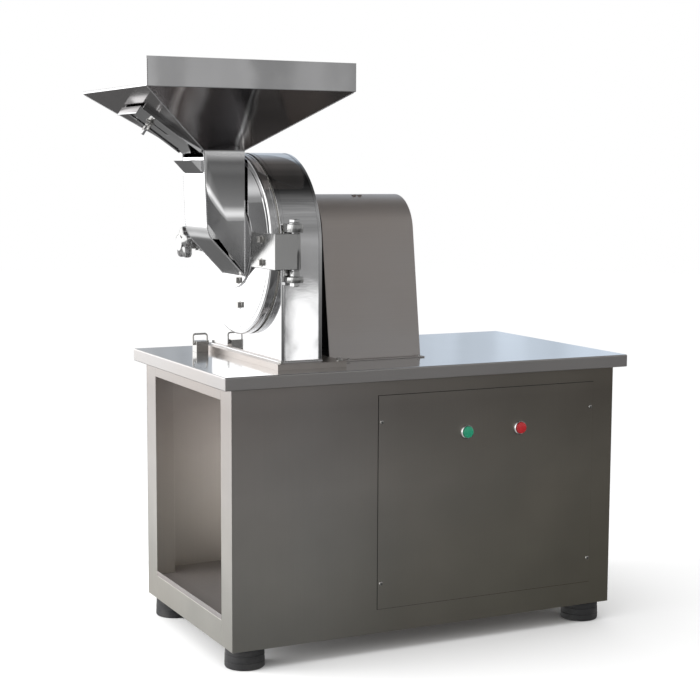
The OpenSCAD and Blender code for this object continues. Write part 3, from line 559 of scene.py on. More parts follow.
ROUND = 0.004
outer = [(g_lo.x, 0.0008), (g_lo.x + 0.0008, 0)]
outer += [(g_hi.x - ROUND + ROUND * math.sin(a), ROUND * (1 - math.cos(a))) for a in QUARTER]
loops = [guard_loop(x, inset) for x, inset in outer]
hood = rings(loops, closed=False)
n = len(loops[0])
hood[1].append(tuple(range((len(loops) - 1) * n, len(loops) * n)))
inner = [guard_loop(g_lo.x, 0.0008), guard_loop(g_lo.x, GUARD_WALL), guard_loop(g_hi.x - GUARD_WALL, GUARD_WALL)]
lining = rings(inner, closed=False)
lining[1].append(tuple(range(2 * n, 3 * n)))
# The guard's inner lining is near-black: painted shade for the dark hollow under the hood.
guard_painted_shade = coated("guard_painted_shade", (0.030, 0.029, 0.028), 0.6, 0.0002, 60, dust=0.1)
cover = piece("guard_hood", "guard", *hood, sharp=40)
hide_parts("guard")
piece("guard_lining", "guard", *lining, material=guard_painted_shade, sharp=40)
flange = []
for side in (-1, 1):
    y0, y1 = sorted((side * (GUARD_FOOT - 0.002), side * g_hi.y))
    flange.append(solid_box((g_lo.x, y0, TABLE_Z), (g_hi.x, y1, TABLE_Z + 0.003)))
piece("guard_flanges", "guard", *merged(flange), bevel=0.8)
# The lifting slot near the top: two near-black plates in the sheet, painted shade in place of the slot's dark
# openings, each with a small tab
SLOT_STEP = 0.0075
slot_a = math.radians(75)
slot_at = Vector((g_lo.x + 0.1275, -GUARD_R * math.cos(slot_a), GUARD_CZ + GUARD_R * math.sin(slot_a)))
tilt = aim((0, -math.cos(slot_a), math.sin(slot_a)), slot_at)
slot_parts = [placed(solid_box((dx - 0.0055, -0.004, -0.001), (dx + 0.0055, 0.004, 0.0004)), tilt)
              for dx in (-SLOT_STEP, SLOT_STEP)]
piece("guard_slots", "guard", *merged(slot_parts), material=guard_painted_shade)
tabs = [placed(solid_box((dx - 0.005, -0.0046, 0.0), (dx + 0.005, -0.0034, 0.0035)), tilt) for dx in (-SLOT_STEP,
    SLOT_STEP)]
piece("guard_slot_tabs", "guard", *merged(tabs), bevel=0.3)


# ---------------------------------------------------------------- table top and cabinet front

t_lo, t_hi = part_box("table_top")
EDGE_R, LIP = 0.0035, 0.010


def table_loop(inset, z, corner):
    """A rectangle with round corners, inset from the table's edge."""
    x0, x1, y0, y1 = t_lo.x + inset, t_hi.x - inset, t_lo.y + inset, t_hi.y - inset
    pts = []
    for cx, cy, a0 in ((x1 - corner, y0 + corner, -90), (x1 - corner, y1 - corner, 0),
                       (x0 + corner, y1 - corner, 90), (x0 + corner, y0 + corner, 180)):
        for i in range(7):
            a = math.radians(a0 + 15 * i)
            pts.append((cx + corner * math.cos(a), cy + corner * math.sin(a), z))
    return pts


loops = [table_loop(LIP, t_lo.z + 0.002, 0.001), table_loop(LIP, t_lo.z, 0.001), table_loop(0.0015, t_lo.z, 0.002),
         table_loop(0, t_lo.z + 0.0015, 0.0035)]
loops += [table_loop(EDGE_R * (1 - math.cos(a)), t_hi.z - EDGE_R + EDGE_R * math.sin(a),
                     max(0.0035 - EDGE_R * (1 - math.cos(a)), 0.0004))
          for a in QUARTER]
loops.append(table_loop(0.02, t_hi.z, 0.0004))
top_part = rings(loops, cap1=True)
under = rings([table_loop(LIP, t_lo.z + 0.002, 0.001), table_loop(0.002, t_lo.z + 0.002, 0.001),
               table_loop(0.002, t_hi.z - 0.003, 0.001)], cap1=True)
slab = piece("table_sheet", "table_top", *merged([top_part, under]), sharp=40)
skirt_steel = steel("skirt_steel", (0.58, 0.56, 0.55), 0.30, grain="x", warm=0.2, smudge=0.12)
slab.data.materials.append(skirt_steel)
for face in slab.data.polygons:
    face.material_index = 0 if face.normal.z > 0.7 else 1
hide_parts("table_top")


# ---------------------------------------------------------------- feed chute

c_lo, c_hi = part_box("feed_chute")
SHEET = 0.002
BEND_R, BEND_Z, CHUTE_DX, TIP_Z = 0.060, AXIS_Z + 0.052, 0.007, AXIS_Z - 0.074


def chute_side(t):
    """The chute's side outline in X and Z, from the top of its back down its front and bend to the tip."""
    x0 = c_lo.x
    pts = [(c_hi.x, c_hi.z), (x0 + t, c_hi.z), (x0 + CHUTE_DX + t, BEND_Z)]
    for i in range(1, 17):
        a = math.radians(45 * i / 16)
        pts.append((x0 + CHUTE_DX + BEND_R - (BEND_R - t) * math.cos(a), BEND_Z - (BEND_R - t) * math.sin(a)))
    pts.append((c_hi.x, TIP_Z + 1.4 * t))
    return pts


ROLL, NOTCH = 0.0022, 0.016
front = chute_side(0)[1:]


def chute_strip(inset, y):
    """The front sheet's line at one width, pulled in by inset. It stops under the gap for the gate plate."""
    line = chute_side(inset)[1:]
    low_x = line[0][0] + CHUTE_DX * NOTCH / (c_hi.z - BEND_Z)
    return [(low_x, y, c_hi.z - NOTCH)] + [(x, y, z) for x, z in line[1:]]


rows = []
for a in QUARTER:
    rows.append((ROLL * (1 - math.sin(a)), c_lo.y + ROLL * (1 - math.cos(a))))
profile = rows + [(inset, -y) for inset, y in reversed(rows)]
front_strips = rings([chute_strip(inset, y) for inset, y in profile], closed=False)
walls = []
for side, y in ((-1, c_lo.y), (1, c_hi.y)):
    outer_pts = [(x, y, z) for x, z in chute_side(ROLL)]
    inner_pts = [(x, y - side * SHEET, z) for x, z in chute_side(ROLL)]
    walls.append(([*outer_pts, *inner_pts], [tuple(range(len(outer_pts))),
                 tuple(range(len(outer_pts), 2 * len(outer_pts)))] + [
                 (i, (i + 1) % len(outer_pts), len(outer_pts) + (i + 1) % len(outer_pts), len(outer_pts) + i)
                 for i in range(len(outer_pts))]))
inside = rings([chute_strip(SHEET, c_lo.y + SHEET), chute_strip(SHEET, c_hi.y - SHEET)], closed=False)
back = solid_box((c_hi.x - SHEET, c_lo.y + SHEET, PORT_Z1), (c_hi.x, c_hi.y - SHEET, c_hi.z))
# chute_steel is a lighter copy of the polished sheet steel. Its extra brightness is painted light on the chute.
chute_steel = steel("chute_steel", (0.84, 0.84, 0.845), 0.10, wave=0.0010, wave_scale=7, smudge=0.10)
chute = piece("chute_sheet", "feed_chute", *merged([front_strips, *walls, inside, back]), material=chute_steel,
              sharp=5)
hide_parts("feed_chute")
chute_beads = []
for side, y in ((-1, c_lo.y + 0.0007), (1, c_hi.y - 0.0007)):
    line = [(x + 0.0007, y, z) for x, z in front]
    chute_beads.append(swept(line, 0.0016, 6, 0.6, 0.0042))
    chute_beads.append(swept([(c_hi.x, y, TIP_Z + 0.004), (c_hi.x, y, PORT_Z1 + 0.05)], 0.0018, 6, 0.5, 0.004))
chute_beads.append(swept([(c_lo.x + 0.004, c_lo.y, c_hi.z), (c_hi.x, c_lo.y, c_hi.z)], 0.0018, 6, 0.5, 0.004))
chute_beads.append(swept([(c_lo.x + 0.004, c_hi.y, c_hi.z), (c_hi.x, c_hi.y, c_hi.z)], 0.0018, 6, 0.5, 0.004))
piece("chute_welds", "feed_chute", *merged(chute_beads), sharp=60)


# ---------------------------------------------------------------- hopper

p_lo, p_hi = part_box("hopper_funnel")


def painted_reflection_steel(name):
    """The funnel's polished sheet. Its dark field, bright lines and darkening toward the throat are colour by place:
    painted reflections.
    """
    mat, sh, bsdf, place = new_material(name)
    wobble = sh.math("MULTIPLY", sh.math("SUBTRACT", sh.noise(place, 5, 2), 0.5), 0.10)
    at = sh.add("SeparateXYZ", Vector=place).outputs
    lean = sh.math("ADD", sh.math("ADD", at[0], wobble), sh.math("MULTIPLY", sh.math("SUBTRACT", at[2], p_lo.z), 0.25))
    across = sh.add("MapRange", Value=lean, i1=p_lo.x, i2=p_hi.x, i3=0.0, i4=1.0).outputs[0]
    # Painted reflections: a dark field crossed by bright lines.
    tone = sh.ramp(across, [
        (0.00, (0.30, 0.28, 0.28)), (0.20, (0.26, 0.24, 0.24)), (0.23, (0.62, 0.61, 0.61)), (0.25, (0.22, 0.20, 0.20)),
        (0.31, (0.50, 0.49, 0.49)), (0.34, (0.16, 0.145, 0.145)), (0.50, (0.13, 0.125, 0.13)), (0.545,
            (0.14, 0.13, 0.135)),
        (0.56, (0.70, 0.70, 0.70)), (0.575, (0.22, 0.21, 0.21)), (0.59, (0.60, 0.58, 0.57)), (0.61,
            (0.36, 0.33, 0.32)),
        (0.85, (0.40, 0.365, 0.35)), (1.00, (0.33, 0.31, 0.30))])
    # Painted reflection: the sheet is darker toward the throat at its foot and lighter at its top.
    up = sh.add("MapRange", Value=at[2], i1=p_lo.z, i2=p_hi.z, i3=0.0, i4=1.0).outputs[0]
    tone = sh.mix(1.0, tone, sh.ramp(up, [(0.0, 0.50), (0.15, 0.85), (0.8, 1.0), (1.0, 1.15)]), "MULTIPLY")
    brushed = sh.noise(sh.stretched(place, GRAIN["z"]), 1.0, 3, 0.7)
    sh.tree.links.new(tone, bsdf.inputs["Base Color"])
    sh.tree.links.new(sh.math("ADD", sh.math("MULTIPLY", brushed, 0.06), 0.13), bsdf.inputs["Roughness"])
    sh.tree.links.new(sh.bump(sh.noise(place, 6, 1.5, 0.4), 0.0006), bsdf.inputs["Normal"])
    bsdf.inputs["Metallic"].default_value = 1.0
    return mat


hopper_steel = painted_reflection_steel("hopper_steel")
r_lo, r_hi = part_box("hopper_rim")
THROAT = (c_lo.x, c_hi.x - 0.001, c_hi.y)
MOUTH = (p_lo.x, p_hi.x, p_hi.y)
FUNNEL_WALL = 0.0025


def level_loop(k, inset, z=None):
    """The funnel's rectangle at a share k of its height, with folded corners."""
    x0 = THROAT[0] + (MOUTH[0] - THROAT[0]) * k + inset
    x1 = THROAT[1] + (MOUTH[1] - THROAT[1]) * k - inset
    y = THROAT[2] + (MOUTH[2] - THROAT[2]) * k - inset
    z = p_lo.z + (p_hi.z - p_lo.z) * k if z is None else z
    c = 0.0016
    pts = []
    for cx, cy, a0 in ((x1 - c, -y + c, -90), (x1 - c, y - c, 0), (x0 + c, y - c, 90), (x0 + c, -y + c, 180)):
        for i in range(4):
            a = math.radians(a0 + 30 * i)
            pts.append((cx + c * math.cos(a), cy + c * math.sin(a), z))
    return pts


levels = [i / 8 for i in range(9)]
funnel_loops = [level_loop(k, 0) for k in levels] + [level_loop(k, FUNNEL_WALL) for k in reversed(levels)]
funnel_loops.append(funnel_loops[0])
funnel = piece("hopper_sheet", "hopper_funnel", *rings(funnel_loops), material=hopper_steel, sharp=28)
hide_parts("hopper_funnel")

FOLD = 0.0028
HEM = 0.010
TAPER = ((0.290, r_hi.z), (0.200, r_lo.z + 0.004), (0.0, r_lo.z + 0.004))


def rim_wall(line, thick, inward, tops):
    """An upright sheet along a line of (x, y) points with a top height for each; its rolled hem is a separate piece.
    """
    w = Vector((*inward, 0)) * thick
    lower = [Vector((x, y, r_lo.z)) for x, y in line]
    upper = [Vector((x, y, z)) for (x, y), z in zip(line, tops)]
    return rings([lower, upper, [p + w for p in upper], [p + w for p in lower], lower], closed=False)


x_split, x_low = r_lo.x + TAPER[0][0], r_lo.x + TAPER[1][0]
rim_parts = [
    rim_wall([(r_lo.x, r_lo.y), (r_hi.x, r_lo.y)], SHEET, (0, 1), [r_hi.z] * 2),
    rim_wall([(r_hi.x, r_lo.y), (r_hi.x, r_hi.y)], SHEET, (-1, 0), [r_hi.z] * 2),
    rim_wall([(r_lo.x, r_hi.y), (x_low, r_hi.y), (x_split, r_hi.y), (r_hi.x, r_hi.y)], SHEET, (0, -1),
             [r_lo.z + 0.004, r_lo.z + 0.004, r_hi.z, r_hi.z]),
    rim_wall([(r_lo.x, r_lo.y), (r_lo.x, r_lo.y + HEM)], SHEET, (1, 0), [r_hi.z] * 2),
    rim_wall([(r_lo.x, r_lo.y + HEM), (r_lo.x, r_hi.y)], SHEET, (1, 0), [r_lo.z + 0.004] * 2),
]
rim_sheet = piece("hopper_rim_sheet", "hopper_rim", *merged(rim_parts), sharp=40)
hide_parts("hopper_rim")
roll = FOLD / 2
top_line = [(r_lo.x + roll, r_lo.y + roll, r_lo.z + 0.006), (r_lo.x + roll, r_lo.y + roll, r_hi.z - 0.008),
            (r_lo.x + roll + 0.0025, r_lo.y + roll, r_hi.z - roll - 0.0015),
            (r_lo.x + roll + 0.009, r_lo.y + roll, r_hi.z - roll), (r_hi.x - roll, r_lo.y + roll, r_hi.z - roll),
            (r_hi.x - roll, r_hi.y - roll, r_hi.z - roll), (x_split, r_hi.y - roll, r_hi.z - roll),
            (x_low, r_hi.y - roll, r_lo.z + 0.005), (r_lo.x + roll, r_hi.y - roll, r_lo.z + 0.004),
            (r_lo.x + roll, r_lo.y + HEM, r_lo.z + 0.004)]
piece("hopper_hem", "hopper_rim", *swept(top_line, roll, 8), sharp=70)
seams = [swept([(r_lo.x + 0.001, r_lo.y + 0.0008, r_lo.z), (r_hi.x - 0.001, r_lo.y + 0.0008, r_lo.z)], 0.0012, 6, 0.25,
               0.005),
         swept([(r_hi.x - 0.0008, r_lo.y + 0.001, r_lo.z), (r_hi.x - 0.0008, r_hi.y - 0.001, r_lo.z)], 0.0012, 6, 0.25,
               0.005),
         swept([(r_lo.x + 0.0024, r_lo.y + 0.0010, r_lo.z), (r_lo.x + 0.0024, r_lo.y + 0.0010, r_hi.z - 0.006)],
               0.0017, 6, 0.55, 0.0045)]
for x_side, y_side in ((0, -1), (0, 1), (1, -1), (1, 1)):
    a = Vector((THROAT[x_side], y_side * THROAT[2], p_lo.z))
    b = Vector((MOUTH[x_side], y_side * MOUTH[2], p_hi.z))
    b = a.lerp(b, 0.985)
    inward = Vector((1 - 2 * x_side, -y_side, 0)) * 0.0011
    seams.append(swept([a + inward, b + inward], 0.0015, 6, 0.4, 0.004))
piece("hopper_welds", "hopper_rim", *merged(seams), sharp=60)


# ---------------------------------------------------------------- hinge, bolts and door hardware


def bolt_head(across, height, washer_r=0.0, washer_t=1.6, sides=6):
    """A chamfered head standing on +Z from zero, with its rounded washer under it."""
    parts = [hex_prism(across, washer_t if washer_r else 0, height + (washer_t if washer_r else 0), across * 0.05,
                       sides)]
    if washer_r:
        parts.append(turned([(washer_r * 0.5, 0), (washer_r - 0.2, 0), (washer_r, washer_t * 0.4),
                             (washer_r - 0.3, washer_t * 0.85), (washer_r - 1.0, washer_t)], 40))
    return merged(parts)


pin_lo, pin_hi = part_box("hinge_pin")
pin_x, pin_y = (pin_lo.x + pin_hi.x) / 2, (pin_lo.y + pin_hi.y) / 2
top_nut = merged([
    turned([(7, 0), (14.4, 0), (15, 0.8), (15, 2.2), (14.2, 3)], 48),
    hex_prism(22.4, 3, 10.4, 1.2),
    turned([(5, 10), (8, 10), (7.6, 10.6), (6.5, 11), (2, 11)], 32)])
low_nut = merged([hex_prism(20.6, 1, 9.8, 1.1), turned([(4, 1.2), (7.5, 0.8), (6.4, 0), (2, 0)], 32)])
rod = turned([(6.5, 0), (7.98, 0.4), (7.98, (pin_hi.z - pin_lo.z) / MM - 12),
              (6.5, (pin_hi.z - pin_lo.z) / MM - 11.5)], 48)
pin = piece("hinge_bolt", "hinge_pin", *merged([
    placed(top_nut, Matrix.Translation((pin_x, pin_y, pin_hi.z - 0.011))),
    placed(low_nut, Matrix.Translation((pin_x, pin_y, pin_lo.z))),
    placed(rod, Matrix.Translation((pin_x, pin_y, pin_lo.z)))]), sharp=35)
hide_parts("hinge_pin")

DOOR_BOLTS = [(f_lo.x, -0.030, AXIS_Z - 0.086), (d_lo.x, -0.030, AXIS_Z - 0.146)]
arm_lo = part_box("hinge_arm")[0]
DOOR_BOLTS += [(arm_lo.x, -0.181, AXIS_Z + dz) for dz in (-0.035, 0.019)]
DOOR_BOLTS += [(d_lo.x - 0.010, 0.175, AXIS_Z - 0.008)]
heads = [placed(placed(bolt_head(13.8, 7, 10, 1.5, 4), Matrix.Rotation(math.radians(45), 4, "Z")), aim((-1, 0, 0), at))
         for at in DOOR_BOLTS]
bolts = piece("door_bolt_heads", "door_bolts", *merged(heads), sharp=28)
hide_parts("door_bolts")

b_lo, b_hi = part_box("base_bolts")
plate_lo, plate_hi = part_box("base_plate")
corners = [(x, y) for x in (plate_lo.x + 0.013, plate_hi.x - 0.013) for y in (plate_lo.y + 0.013, plate_hi.y - 0.013)]
NUT_DROP = 0.0065
studs = []
for i, (x, y) in enumerate(corners):
    spin = Matrix.Rotation(math.radians(17 * i + 9), 4, "Z")
    studs.append(placed(placed(bolt_head(13, 5.6, 9), spin), Matrix.Translation((x, y, plate_hi.z))))
    studs.append(placed(hex_prism(13, 10, 16.4, 0.6), Matrix.Translation((x, y, b_lo.z - NUT_DROP))))
    studs.append(placed(turned([(3.2, 0), (4, 0.8), (4, (b_hi.z - b_lo.z) / MM - 9),
        (3.4, (b_hi.z - b_lo.z) / MM - 8.4)], 24),
                        Matrix.Translation((x, y, b_lo.z))))
base_bolts = piece("base_bolt_heads", "base_bolts", *merged(studs), sharp=28)
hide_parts("base_bolts")


def pan_head(r=5.0, h=2.9):
    """A domed screw head on +Z."""
    return turned([(r * 0.6, 0), (r, 0), (r, 0.7), (r * 0.93, h * 0.55), (r * 0.78, h * 0.82), (r * 0.55, h * 0.97),
                   (r * 0.25, h)], 32)


def cross_recess(r=5.0, h=2.9):
    """A near-black cross just proud of the same screw's dome: painted shade in place of the screw's cross recess."""
    arm, wide = r * 0.52 * MM, r * 0.085 * MM
    lo, hi = (h - 0.5) * MM, (h + 0.02) * MM
    return merged([solid_box((-arm, -wide, lo), (arm, wide, hi)), solid_box((-wide, -arm, lo), (wide, arm, hi))])


s_lo, s_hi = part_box("access_cover")
COVER_SCREWS = [(x, s_lo.y, z) for x in (s_lo.x + 0.008, s_hi.x - 0.008) for z in (s_lo.z + 0.063, s_hi.z - 0.063)]
GUARD_SCREWS = [(x, y * (GUARD_FOOT + 0.011), TABLE_Z + 0.003) for x in (g_lo.x + 0.045, g_hi.x - 0.012) for y in (-1,
    1)]
domes, slots = [], []
for i, at in enumerate(COVER_SCREWS + GUARD_SCREWS):
    pose = aim((0, -1, 0) if i < 4 else (0, 0, 1), at) @ Matrix.Rotation(0.5 * i, 4, "Z")
    domes.append(placed(pan_head(), pose))
    slots.append(placed(cross_recess(), pose))
screws = piece("pan_screws", "panel_screws", *merged(domes), sharp=50)
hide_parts("panel_screws")
# dark_slot is near-black. On the screws it is painted shade for their cross recesses; round the cover it is the dark
# joint line.
dark_slot = coated("dark_slot", (0.012, 0.012, 0.012), 0.7, 0.00005, 600)
piece("pan_screw_slots", "panel_screws", *merged(slots), material=dark_slot)

# Star knob: five smooth lobes, a boss under them and a dished face
k_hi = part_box("star_knob")[1]
stem_lo, stem_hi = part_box("clamp_stem")
knob_mid = ((stem_lo.y + stem_hi.y) / 2, (stem_lo.z + stem_hi.z) / 2)


def lobed(a, r):
    return 1 + 0.17 * math.cos(5 * a) if r > 21 else 1.0


KNOB = [(8.3, 0), (14.4, 0), (15, 0.8), (14.6, 6), (15.5, 10), (24, 11.5), (32, 12.5), (35, 14.5), (36.3, 18),
        (36.6, 23),
        (36, 28), (34, 31.5), (31, 33.3), (27, 34.2), (23, 35.8), (20.5, 38.2), (19, 39), (12, 38.6)]
knob_part = turned(KNOB, 120, 0, lobed)
knob_pose = Matrix.Translation((k_hi.x - 0.00015, knob_mid[0], knob_mid[1])) @ Matrix.Rotation(math.radians(-90), 4,
    "Y")
knob = piece("star_knob_casting", "star_knob", *placed(knob_part, knob_pose), sharp=40)
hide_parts("star_knob")

# Wing nut on the gate's stud
slope_u = Vector((THROAT[0] - MOUTH[0], 0, p_lo.z - p_hi.z)).normalized()
slope_w = Vector((slope_u.z, 0, -slope_u.x))
GATE = Matrix.Translation((MOUTH[0], 0, p_hi.z)) @ Matrix((slope_u, (0, 1, 0), slope_w)).transposed().to_4x4()
STUD_U, NUT_W = 0.116, 0.0068
wing_parts = [turned([(4.2, 0), (10.4, 0), (11, 0.6), (10.8, 1.7), (8.6, 2.2), (8, 4), (7.6, 9), (6.6, 11.6), (5, 12),
                      (4.2, 11)], 40)]
for side in (-1, 1):
    outline_2d = [(4, 3), (10, 5), (16, 7), (21.5, 10), (24, 15), (22.6, 20), (18.5, 23.6), (13.5, 23.2), (10, 19.5),
                  (8, 14), (5, 10.5)]
    loops = []
    for x, k in ((-2.0, 0.86), (-1.7, 0.96), (-0.8, 1.0), (0.8, 1.0), (1.7, 0.96), (2.0, 0.86)):
        loops.append([(x * MM, side * (14 + (y - 14) * k) * MM, (13 + (z - 13) * k) * MM) for y, z in outline_2d])
    wing_parts.append(rings(loops, cap0=True, cap1=True))
wing_part = merged(wing_parts)
nut = piece("wing_nut_casting", "wing_nut", *placed(wing_part, GATE @ Matrix.Translation((STUD_U, 0, NUT_W))),
            sharp=50)
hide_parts("wing_nut")

# Wire bail of the catch: one bent wire through its block
ca_lo, ca_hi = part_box("catch_block")
WIRE, WIRE_BEND, WIRE_RISE = 0.0025, 0.006, 0.0255
lean = Matrix.Translation(((ca_lo.x + ca_hi.x) / 2, ca_lo.y + 0.015,
    TABLE_Z + 0.020)) @ Matrix.Rotation(math.radians(-6), 4, "X")
leg = (ca_hi.x - ca_lo.x) / 2 + 0.0005 + WIRE
bend = [(WIRE_BEND * (1 - math.cos(a)), WIRE_BEND * (1 - math.sin(a))) for a in QUARTER]
wire = [(-leg - 0.0015, 0, 0), (-leg, 0, 0.0008)] + [(-leg + dx, 0, WIRE_RISE - dz) for dx, dz in bend]
wire += [(leg - dx, 0, WIRE_RISE - dz) for dx, dz in reversed(bend)] + [(leg, 0, 0.0008), (leg + 0.0015, 0, 0)]
axle = [(-leg - 0.0020, 0, 0), (leg + 0.0020, 0, 0)]
bail_part = merged([swept([lean @ Vector(q) for q in wire], WIRE * 0.96, 12),
                    swept([lean @ Vector(q) for q in axle], WIRE, 12)])
bail = piece("bail_wire", "catch_bail", *bail_part, sharp=50)
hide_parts("catch_bail")

# Rubber feet: moulded cups with ribs
foot_lo, foot_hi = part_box("feet")
FOOT_R, FOOT_H = 47.5, foot_hi.z / MM
FOOT = [(20, 0), (FOOT_R - 5, 0), (FOOT_R - 1.5, 1), (FOOT_R, 4), (FOOT_R, 16), (FOOT_R - 1.2, 17), (FOOT_R - 1.2, 19),
        (FOOT_R - 0.1, 20), (FOOT_R - 0.6, 32), (FOOT_R - 1.8, 33), (FOOT_R - 1.8, 35), (FOOT_R - 0.8, 36),
        (FOOT_R - 1.4, FOOT_H - 5), (FOOT_R - 2.4, FOOT_H - 1.6), (FOOT_R - 4.5, FOOT_H), (20, FOOT_H)]
cups = [placed(turned(FOOT, 72), Matrix.Translation((x, y, 0)))
        for x in (foot_lo.x + FOOT_R * MM, foot_hi.x - FOOT_R * MM) for y in (foot_lo.y + FOOT_R * MM,
            foot_hi.y - FOOT_R * MM)]
feet = piece("rubber_cups", "feet", *merged(cups), sharp=42)
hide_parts("feet")

# Push buttons: chromed bezels and flush lenses
z_lo, z_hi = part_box("button_bezels")
BUTTON_Z = (z_lo.z + z_hi.z) / 2
BEZEL = [(6.4, -18), (11.7, -18), (11.7, 0), (17.4, 0), (18, 0.7), (18, 3.2), (17.4, 5.4), (16.2, 7.2), (15.2, 7.9),
         (14.5, 7.7),
         (14.3, 7.0), (14.3, 2.2), (6.4, 2.2)]
LENS = [(5.9, -10), (5.9, 6.8), (14.0, 7.0), (14.0, 10.6), (13.5, 11.5), (12.4, 12.1), (11.6, 12.0), (10.8, 12.3),
        (7, 12.8), (2, 13.0)]
b_mid = {n: (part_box(n)[0].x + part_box(n)[1].x) / 2 for n in ("start_button", "stop_button")}
bezels = [placed(turned(BEZEL, 64), aim((0, -1, 0), (x, s_lo.y, BUTTON_Z))) for x in b_mid.values()]
bez = piece("chrome_bezels", "button_bezels", *merged(bezels), sharp=40)
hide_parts("button_bezels")
for name, x in b_mid.items():
    lens = piece(name + "_lens", name, *placed(turned(LENS, 64), aim((0, -1, 0), (x, s_lo.y, BUTTON_Z))), sharp=40)
    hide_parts(name)

# Dark joint line round the cover
GAP = 0.0011
line_y = (s_hi.y - 0.0006, s_hi.y)
joint = [solid_box((s_lo.x - GAP, line_y[0], s_lo.z - GAP), (s_lo.x, line_y[1], s_hi.z + GAP)),
         solid_box((s_hi.x, line_y[0], s_lo.z - GAP), (s_hi.x + GAP, line_y[1], s_hi.z + GAP)),
         solid_box((s_lo.x, line_y[0], s_hi.z), (s_hi.x, line_y[1], s_hi.z + GAP)),
         solid_box((s_lo.x, line_y[0], s_lo.z - GAP), (s_hi.x, line_y[1], s_lo.z))]
piece("cover_joint", "access_cover", *merged(joint), material=dark_slot)


# ---------------------------------------------------------------- stage, light and world

floor_mat, sh, bsdf, place = new_material("pale_floor")
far = sh.ramp(sh.math("MULTIPLY", sh.add("VectorMath", {"operation": "LENGTH"}, i0=place).outputs["Value"], 0.14),
              [(0.10, 0.0), (0.50, 1.0)], "EASE")
near = sh.mix(sh.noise(place, 1.5, 3), (0.88, 0.88, 0.88), (0.92, 0.92, 0.92))
sh.tree.links.new(sh.mix(far, near, (0.0, 0.0, 0.0)), bsdf.inputs["Base Color"])
sh.tree.links.new(sh.mix(far, (0.0, 0.0, 0.0), (1.0, 1.0, 1.0)), bsdf.inputs["Emission Color"])
bsdf.inputs["Emission Strength"].default_value = 1.0
bsdf.inputs["Roughness"].default_value = 0.85
bsdf.inputs["Specular IOR Level"].default_value = 0.1
floor_mesh = bpy.data.meshes.new("floor")
FLOOR_R = 14
floor_mesh.from_pydata(
    [(FLOOR_R * math.cos(a), FLOOR_R * math.sin(a), 0) for a in [math.tau * i / 64 for i in range(64)]],
    [], [list(range(64))])
floor = bpy.data.objects.new("floor", floor_mesh)
floor_mesh.materials.append(floor_mat)
bpy.context.scene.collection.objects.link(floor)
floor.visible_glossy = False

world = bpy.data.worlds.new("World")
bpy.context.scene.world = world
world.use_nodes = True
world.node_tree.nodes.clear()
sh = Shader(world.node_tree)
axes = sh.add("SeparateXYZ", Vector=sh.add("TexCoord").outputs["Generated"]).outputs
azimuth = sh.math("ARCTAN2", axes[0], axes[1])
turn = sh.scaled(azimuth, 1 / math.tau, 0.5)
# The room that only glossy rays see, set for the main camera: tones round the horizon, then below and above it.
# Round the horizon: 0 and 1 are -Y, 0.25 is -X, 0.5 is +Y and 0.75 is +X
band = sh.ramp(turn, [
    (0.00, 0.42), (0.08, 0.45), (0.15, 0.7), (0.17, 2.2), (0.185, 0.9), (0.22, 2.2), (0.46, 2.2), (0.50, 1.1),
    (0.525, 0.62), (0.545, 0.50), (0.57, (0.60, 0.66, 0.74)), (0.60, (0.74, 0.84, 0.96)), (0.66, 0.70), (0.74, 0.45),
    (0.90, 0.42), (0.96, 0.42), (1.00, 0.42)])
# The narrow part of the room behind the camera that the rim, housing and guard mirror
sector = sh.add("MapRange", Value=turn, i1=0.90, i2=0.96, i3=0.0, i4=1.0).outputs[0]
narrow = sh.ramp(sector, [
    (0.00, 1.0), (0.30, 0.95), (0.44, 0.85), (0.47, 1.0), (0.50, 1.10), (0.545, 1.05), (0.565, 0.55), (0.60, 0.62),
    (0.61, 1.50), (0.625, 1.35), (0.66, 1.15), (0.675, 1.60), (0.69, 1.25), (0.715, 1.40), (0.73, 0.60), (0.76, 0.75),
    (0.775, 2.2), (0.80, 1.6), (0.83, 1.1), (1.0, 1.0)])
low = sh.ramp(turn, [
    (0.00, 0.13), (0.12, 0.25), (0.20, 1.4), (0.46, 1.4), (0.478, 0.8), (0.49, 0.20), (0.51, 0.12), (0.525, 0.30),
    (0.54, 0.16), (0.58, 0.35), (0.70, 0.28), (0.86, 0.07), (0.905, 0.075), (0.92, 0.10), (0.93, 0.145), (0.94,
        0.14), (1.0, 0.12)])
around = sh.add("TexCoord").outputs["Generated"]
streak = sh.noise(sh.stretched(around, (9, 9, 0.5)), 1.0, 2, 0.5)
fine_streak = sh.noise(sh.stretched(around, (45, 45, 3)), 1.0, 2, 0.6)
band = sh.mix(0.45, band, sh.ramp(streak, [(0.35, 0.6), (0.5, 1.0), (0.62, 1.2)]), "MULTIPLY")
band = sh.mix(0.35, band, sh.ramp(fine_streak, [(0.38, 0.6), (0.5, 1.0), (0.6, 1.25)]), "MULTIPLY")
band = sh.mix(1.0, band, narrow, "MULTIPLY")
height = sh.scaled(axes[2], 0.5, 0.5)
low = sh.mix(1.0, low, sh.ramp(height, [(0.33, 1.0), (0.38, 1.25), (0.41, 1.15), (0.435, 0.80), (0.46, 0.85)]),
             "MULTIPLY")
above = sh.ramp(height, [(0.50, 1.0), (0.80, 0.95), (0.86, 0.62), (0.92, 0.50), (0.955, 0.10), (1.0, 0.08)])
sky = sh.mix(1.0, band, above, "MULTIPLY")
roof_up = sh.ramp(height, [(0.955, 0.0), (0.965, 1.0)])
roof_x = sh.math("ABSOLUTE", sh.math("SUBTRACT", sh.math("ABSOLUTE", axes[0]), 0.19))
roof_light = sh.math("MULTIPLY", roof_up, sh.ramp(roof_x, [(0.012, 1.0), (0.03, 0.0)]))
sky = sh.mix(roof_light, sky, (1.4, 1.4, 1.4))
whole = sh.mix(sh.ramp(height, [(0.440, 0.0), (0.480, 1.0)]), low, sky)
